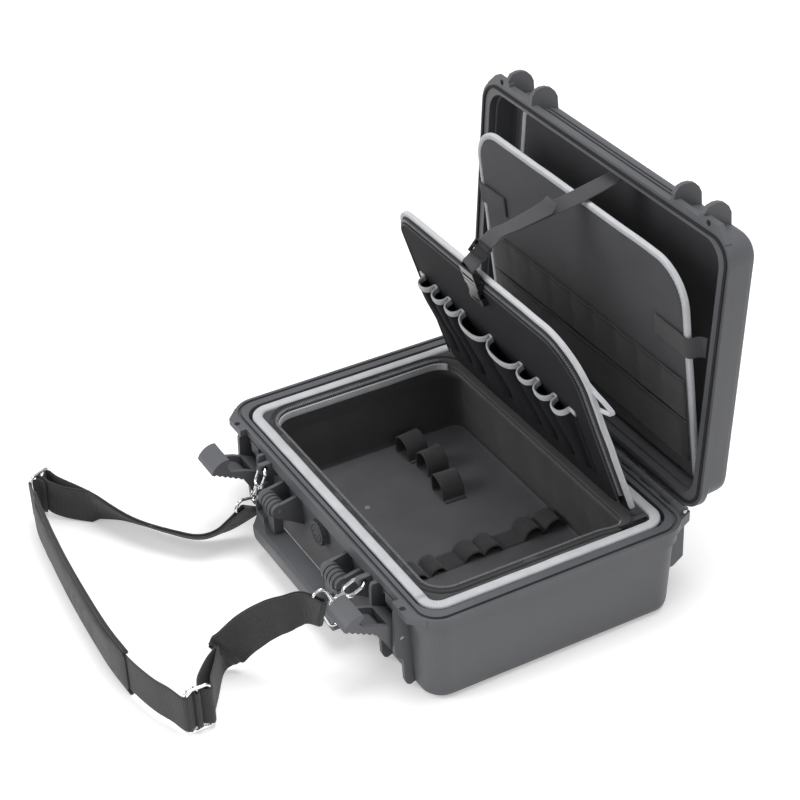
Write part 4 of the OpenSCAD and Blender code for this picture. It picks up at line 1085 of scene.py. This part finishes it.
pts, out = open_run(*flap_plan(0.3), in_front(96))
line = [p + o*0.5*noise.noise(p/38 + Vector((5, 0, 0)))
        for p, o in zip(at_height(pts, 103.0, 0.3, 27), out)]
edge_strip("flap_binding", line, out, soft_box(5.0, 5.4), grey_binding, "bag_flap",
           ("flap_piping",), FLAP)

pts, out = open_run(*flap_plan(-3.4), in_front(80))
edge_strip("flap_zip_tape", at_height(pts, 99.3), out, soft_box(7.4, 0.9, 12), zip_tape,
           "bag_flap", ("flap_zip_track",), FLAP, lean=42)
pts, out = open_run(*flap_plan(-4.9), in_front(80))
teeth_along("flap_zip_teeth", at_height(pts, 97.6), out, (0, 0, -1), "bag_flap", FLAP)
pts, out = open_run(*flap_plan(-7.9), in_front(90))
edge_strip("flap_inner_piping", at_height(pts, 95.6), out, oval(2.0, 1.8, 8), dark_piping,
           "bag_flap", (), FLAP)

# %% [markdown]
# ### Pockets of the flap
# One piece of elastic cloth is gathered into eight pockets: it is sewn down between them and
# bows out over each. Its upper edge is bound in light tape, which shows as a wavy line. The
# wave dies away toward the bottom, where the cloth is sewn flat.

# %% Pockets
PARTS = [1, 1, 1, 2, 2.1, 1.15, 1.15, 1]
UNIT = (FLAP_W - 50)/sum(PARTS)
POCKET_Y = FLAP_Y - FLAP_LEN + 84
FACE_Z = 95.4

def pocket_wave():
    """Points across the flap: position and how far the cloth stands off, for all pockets."""
    wave = [(-150, 0.2), (-147.5, 0.2)]
    for i, part in enumerate(PARTS):
        x = 25 - FLAP_W/2 + (sum(PARTS[:i]) + part/2)*UNIT
        wide = part > 1.5
        c, d, n = part*UNIT - 5.6, 12.4 if wide else 10.6, 18 if wide else 12
        for k in range(n + 1):
            a = math.pi*k/n
            skew = 0.8*math.sin(a)*(0.6 if i % 2 else -0.4)
            wave.append((x - c/2*math.copysign(abs(math.cos(a))**0.8, math.cos(a)) + skew,
                         0.5 + d*math.sin(a)**0.85))
    return wave + [(147.5, 0.2), (150, 0.2)]

def slant(x):
    """The row of mouths runs a little askew, lower toward the right."""
    return 15*(x + 150)/275

WAVE = [(-150 + (x + 150)*0.915, h) for x, h in pocket_wave()]
rows = []
for k in range(30):
    t = k/29
    y = POCKET_Y - 1.5 + 94*t
    fade = (1.04 - 0.60*smoothstep(t*1.15))*(1 - smoothstep((t - 0.95)/0.05)*0.9)
    rows.append([(x + 0.7*noise.noise(Vector((x/30, y/26, 3)))*t,
                  y + slant(x)*(1 - t),
                  FACE_Z - h*fade - 0.5*h/10*noise.noise(Vector((x/11, y/17, 5))))
                 for x, h in WAVE])
cloth_sheet("flap_pocket_cloth", [r[::-1] for r in rows], 1.1, pocket_cloth, "bag_flap",
            ("flap_pockets",), FLAP)

ribbon = spline([(x, POCKET_Y - 1.8 + slant(x), FACE_Z - h*1.05) for x, h in WAVE], 2)
v, f, u = sweep(ribbon, [Vector((0, 1, 0))]*len(ribbon), ups_along(ribbon, (0, 1, 0)),
                webbing_outline(6.6, 2.4))
sewn("flap_pocket_edging", v, [t[::-1] for t in f], grey_binding, "bag_flap",
     ("pocket_edging",), FLAP, u)

# %% [markdown]
# A short loop of light tape stands out at the flap's right edge. It is a band through a few
# points, twisted so that its width faces outward.

# %% Loop beside the flap
path = spline([(155, -62, 104.4), (161, -55, 105.5), (168, -46, 107.6), (172, -37, 109.6),
               (172.5, -33.5, 110), (171, -31, 109.4), (166, -31.5, 107.5), (157, -33, 104.4)], 6)
v, f, u = sweep(path, *frames_along(path, [Vector((0.35, 0.1, 0.93))]*len(path)),
                webbing_outline(4.6, 1.6)[::-1])
sewn("flap_side_ribbon", v, f, grey_binding, "bag_flap", ("flap_side_loops",), FLAP, u)

# %% [markdown]
# ## The lid
# A lined board lies on the lid's ceiling, bound in light tape. From its rear edge a fold of
# cloth carries the pocket board, which leans out of the open lid on two bands.

# %% Lining of the lid
pts, out = rounded_loop(LINING_W, LINING_D, (16,)*4, 0, 10, 60, 40)
soft_board("lid_lining", pts, 131.5, 133.5, 0.5, board_cloth, "lid", ("lid_back_panel",), LID,
           4.0, 0.6)
pts, out = open_run(*rounded_loop(LINING_W - 3.4, LINING_D - 3.4, (14.3,)*4, 0, 10, 60, 40),
                    in_front(110))
edge_strip("lid_lining_binding", at_height(pts, 131.2), out, soft_box(6.4, 3.0), grey_binding,
           "lid", ("lid_back_piping",), LID)
rows = []
for y, z in ((112, 131.2), (117, 130.2), (120.4, 127), (122.6, 122.5), (123.6, 118.6),
             (122.6, 116.6)):
    rows.append([(x, y + 0.5*noise.noise(Vector((x/30, z, 2))), z) for x in
                 [-150 + 300*k/50 for k in range(51)]])
cloth_sheet("board_cloth_hinge", [r[::-1] for r in rows], 1.3, bag_cloth, "lid", (), LID)

# %% [markdown]
# ### The pocket board
# A padded board with a wide light binding. Its face carries a row of nine narrow pockets and
# three wide ones beyond them. Each row is one piece of cloth, sewn down along its seams.

# %% Board and binding
def board_plan(grow):
    w, d = BOARD_W + 2*grow, BOARD_LEN + grow
    r = BOARD_R + grow
    return rounded_loop(w, d, (r, 2, 2, r), -d/2, 18, 64, 46)

pts, out = board_plan(-0.8)
soft_board("pocket_board_padded", pts, -0.2, 3.2, 0.7, board_cloth, "pocket_board",
           ("pocket_board",), BOARD, 9.0, 1.0)
pts, out = open_run(*board_plan(-0.9), in_front(-2))
line = [q + o*0.4*noise.noise(p/40) for p, q, o in zip(pts, at_height(pts, 1.5, 0.3, 31), out)]
edge_strip("board_binding", line, out, soft_box(6.2, 5.6), grey_binding, "pocket_board",
           ("board_piping",), BOARD)
v, f, u = stitch_row([p - o*2.2 - Vector((0, 0, 2.7)) for p, o in zip(line, out)],
                     [Vector((0, 0, -1))]*len(line), 2.4, 1.6, 0.3)
sewn("board_binding_stitches", v, f, pale_thread, "pocket_board", (), BOARD, smooth=False)

# %% Rows of pockets on the board
def pocket_row(name, y_mouth, y_foot, seams, bulge, stands_for=()):
    """Cloth sewn down along seams, standing off a little between them at its mouth."""
    xs, n = [], 9
    for a, b in zip(seams, seams[1:]):
        xs += [(a + (b - a)*k/n, math.sin(math.pi*k/n)) for k in range(n)]
    xs.append((seams[-1], 0.0))
    rows = []
    for j in range(15):
        t = j/14
        y = y_mouth + (y_foot - y_mouth)*t
        rows.append([(x, y + 0.35*noise.noise(Vector((x/24, t, 1))),
                      -1.35 - bulge*s**0.7*(1 - 0.75*t)
                      - 0.25*noise.noise(Vector((x/16, y/14, 2)))) for x, s in xs])
    piece = cloth_sheet(name, rows, 1.0, bag_cloth, "pocket_board", stands_for, BOARD)
    hem = [Vector(p) + Vector((0, -0.2, -0.2)) for p in rows[0]]
    v, f, u = sweep(hem, [Vector((0, 1, 0))]*len(hem), [Vector(UP)]*len(hem), oval(2.0, 1.7, 8))
    return piece, sewn(name + "_hem", v, f, soft_hem, "pocket_board", (), BOARD, u)

edge = BOARD_W/2 - 7
pocket_row("board_pockets_upper", -BOARD_LEN + 120, -BOARD_LEN + 164,
           [-edge + 2*edge*k/9 for k in range(10)], 1.2, ("board_pockets",))
pocket_row("board_pockets_lower", -BOARD_LEN + 167, -BOARD_LEN + 214,
           [-edge, -edge/3, edge/3, edge], 1.5)

# %% [markdown]
# Two elastic bands run from the face of the board round its side edges, toward the walls of
# the lid. They stay with the board when it moves.

# %% Bands that hold the board
def board_band(name, side, stands_for):
    y = -BOARD_LEN + 78
    e = BOARD_W/2
    path = [(e - 46, 0, -2.3), (e - 30, 0, -2.5), (e - 10, 0, -2.6), (e - 1, 0, -3.0),
            (e + 3.2, 0, -1.6), (e + 5.0, 0, 2.0), (e + 5.6, 0, 6.5), (e + 8.0, 0, 10.5),
            (e + 11.5, 0, 12.5)]
    line = spline([(side*x, y + 0.5*k - 2, z) for k, (x, _, z) in enumerate(path)], 5)
    v, f, u = sweep(line, *frames_along(line, [Vector((0, 1, 0))]*len(line)),
                    webbing_outline(22, 1.5)[::-1])
    return sewn(name, v, f, elastic, "pocket_board", stands_for, BOARD, u)

board_band("board_band_left", -1, ("board_strap_left",))
board_band("board_band_right", 1, ("board_strap_right",))

# %% [markdown]
# ## The tether
# A thin band from the lid's front edge to a plug on the flap keeps the flap from falling shut.
# Near the flap it runs through a slide, and its spare end lies back along it. It has no joint
# of its own and rides on the lid.

# %% Tether
tether_points = [(22, 168.2, 378.4), (22, 172.2, 377.6), (21.5, 173.5, 371.5), (20, 158, 366),
                 (16, 128, 357), (12, 103, 350), (8, 72, 341), (4, 53.5, 334.6),
                 (0, 41, 321.5), (-4, 28.9, 307.4)]
def tether_piece(points, wave):
    """Band 20 mm wide through points; wave is how much it turns on its way."""
    line = spline(points, 7)
    wanted = [Vector((1, 0.15*wave*math.sin(i/9), 0.1*wave*math.sin(i/6)))
              for i in range(len(line))]
    return sweep(line, *frames_along(line, wanted), webbing_outline(20, 1.3)[::-1])

v, f, u = tether_piece(tether_points, 1.0)
tether = sewn("tether_band", v, f, elastic, "lid", ("tether_webbing",), uvs=u)
spare = [(-0.5, 43.5, 326.0), (3, 55, 337.2), (7.5, 72, 343.2), (11.4, 98, 351.6),
         (12.6, 105, 355.0), (12.8, 110, 360.5)]
v, f, u = tether_piece(spare, 1.5)
tether_tail = sewn("tether_spare_end", v, f, elastic, "lid", uvs=u)
hard = [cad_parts[n] for n in ("tether_slide", "tether_buckle")]
for piece in (tether, tether_tail, *hard):
    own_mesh(piece)
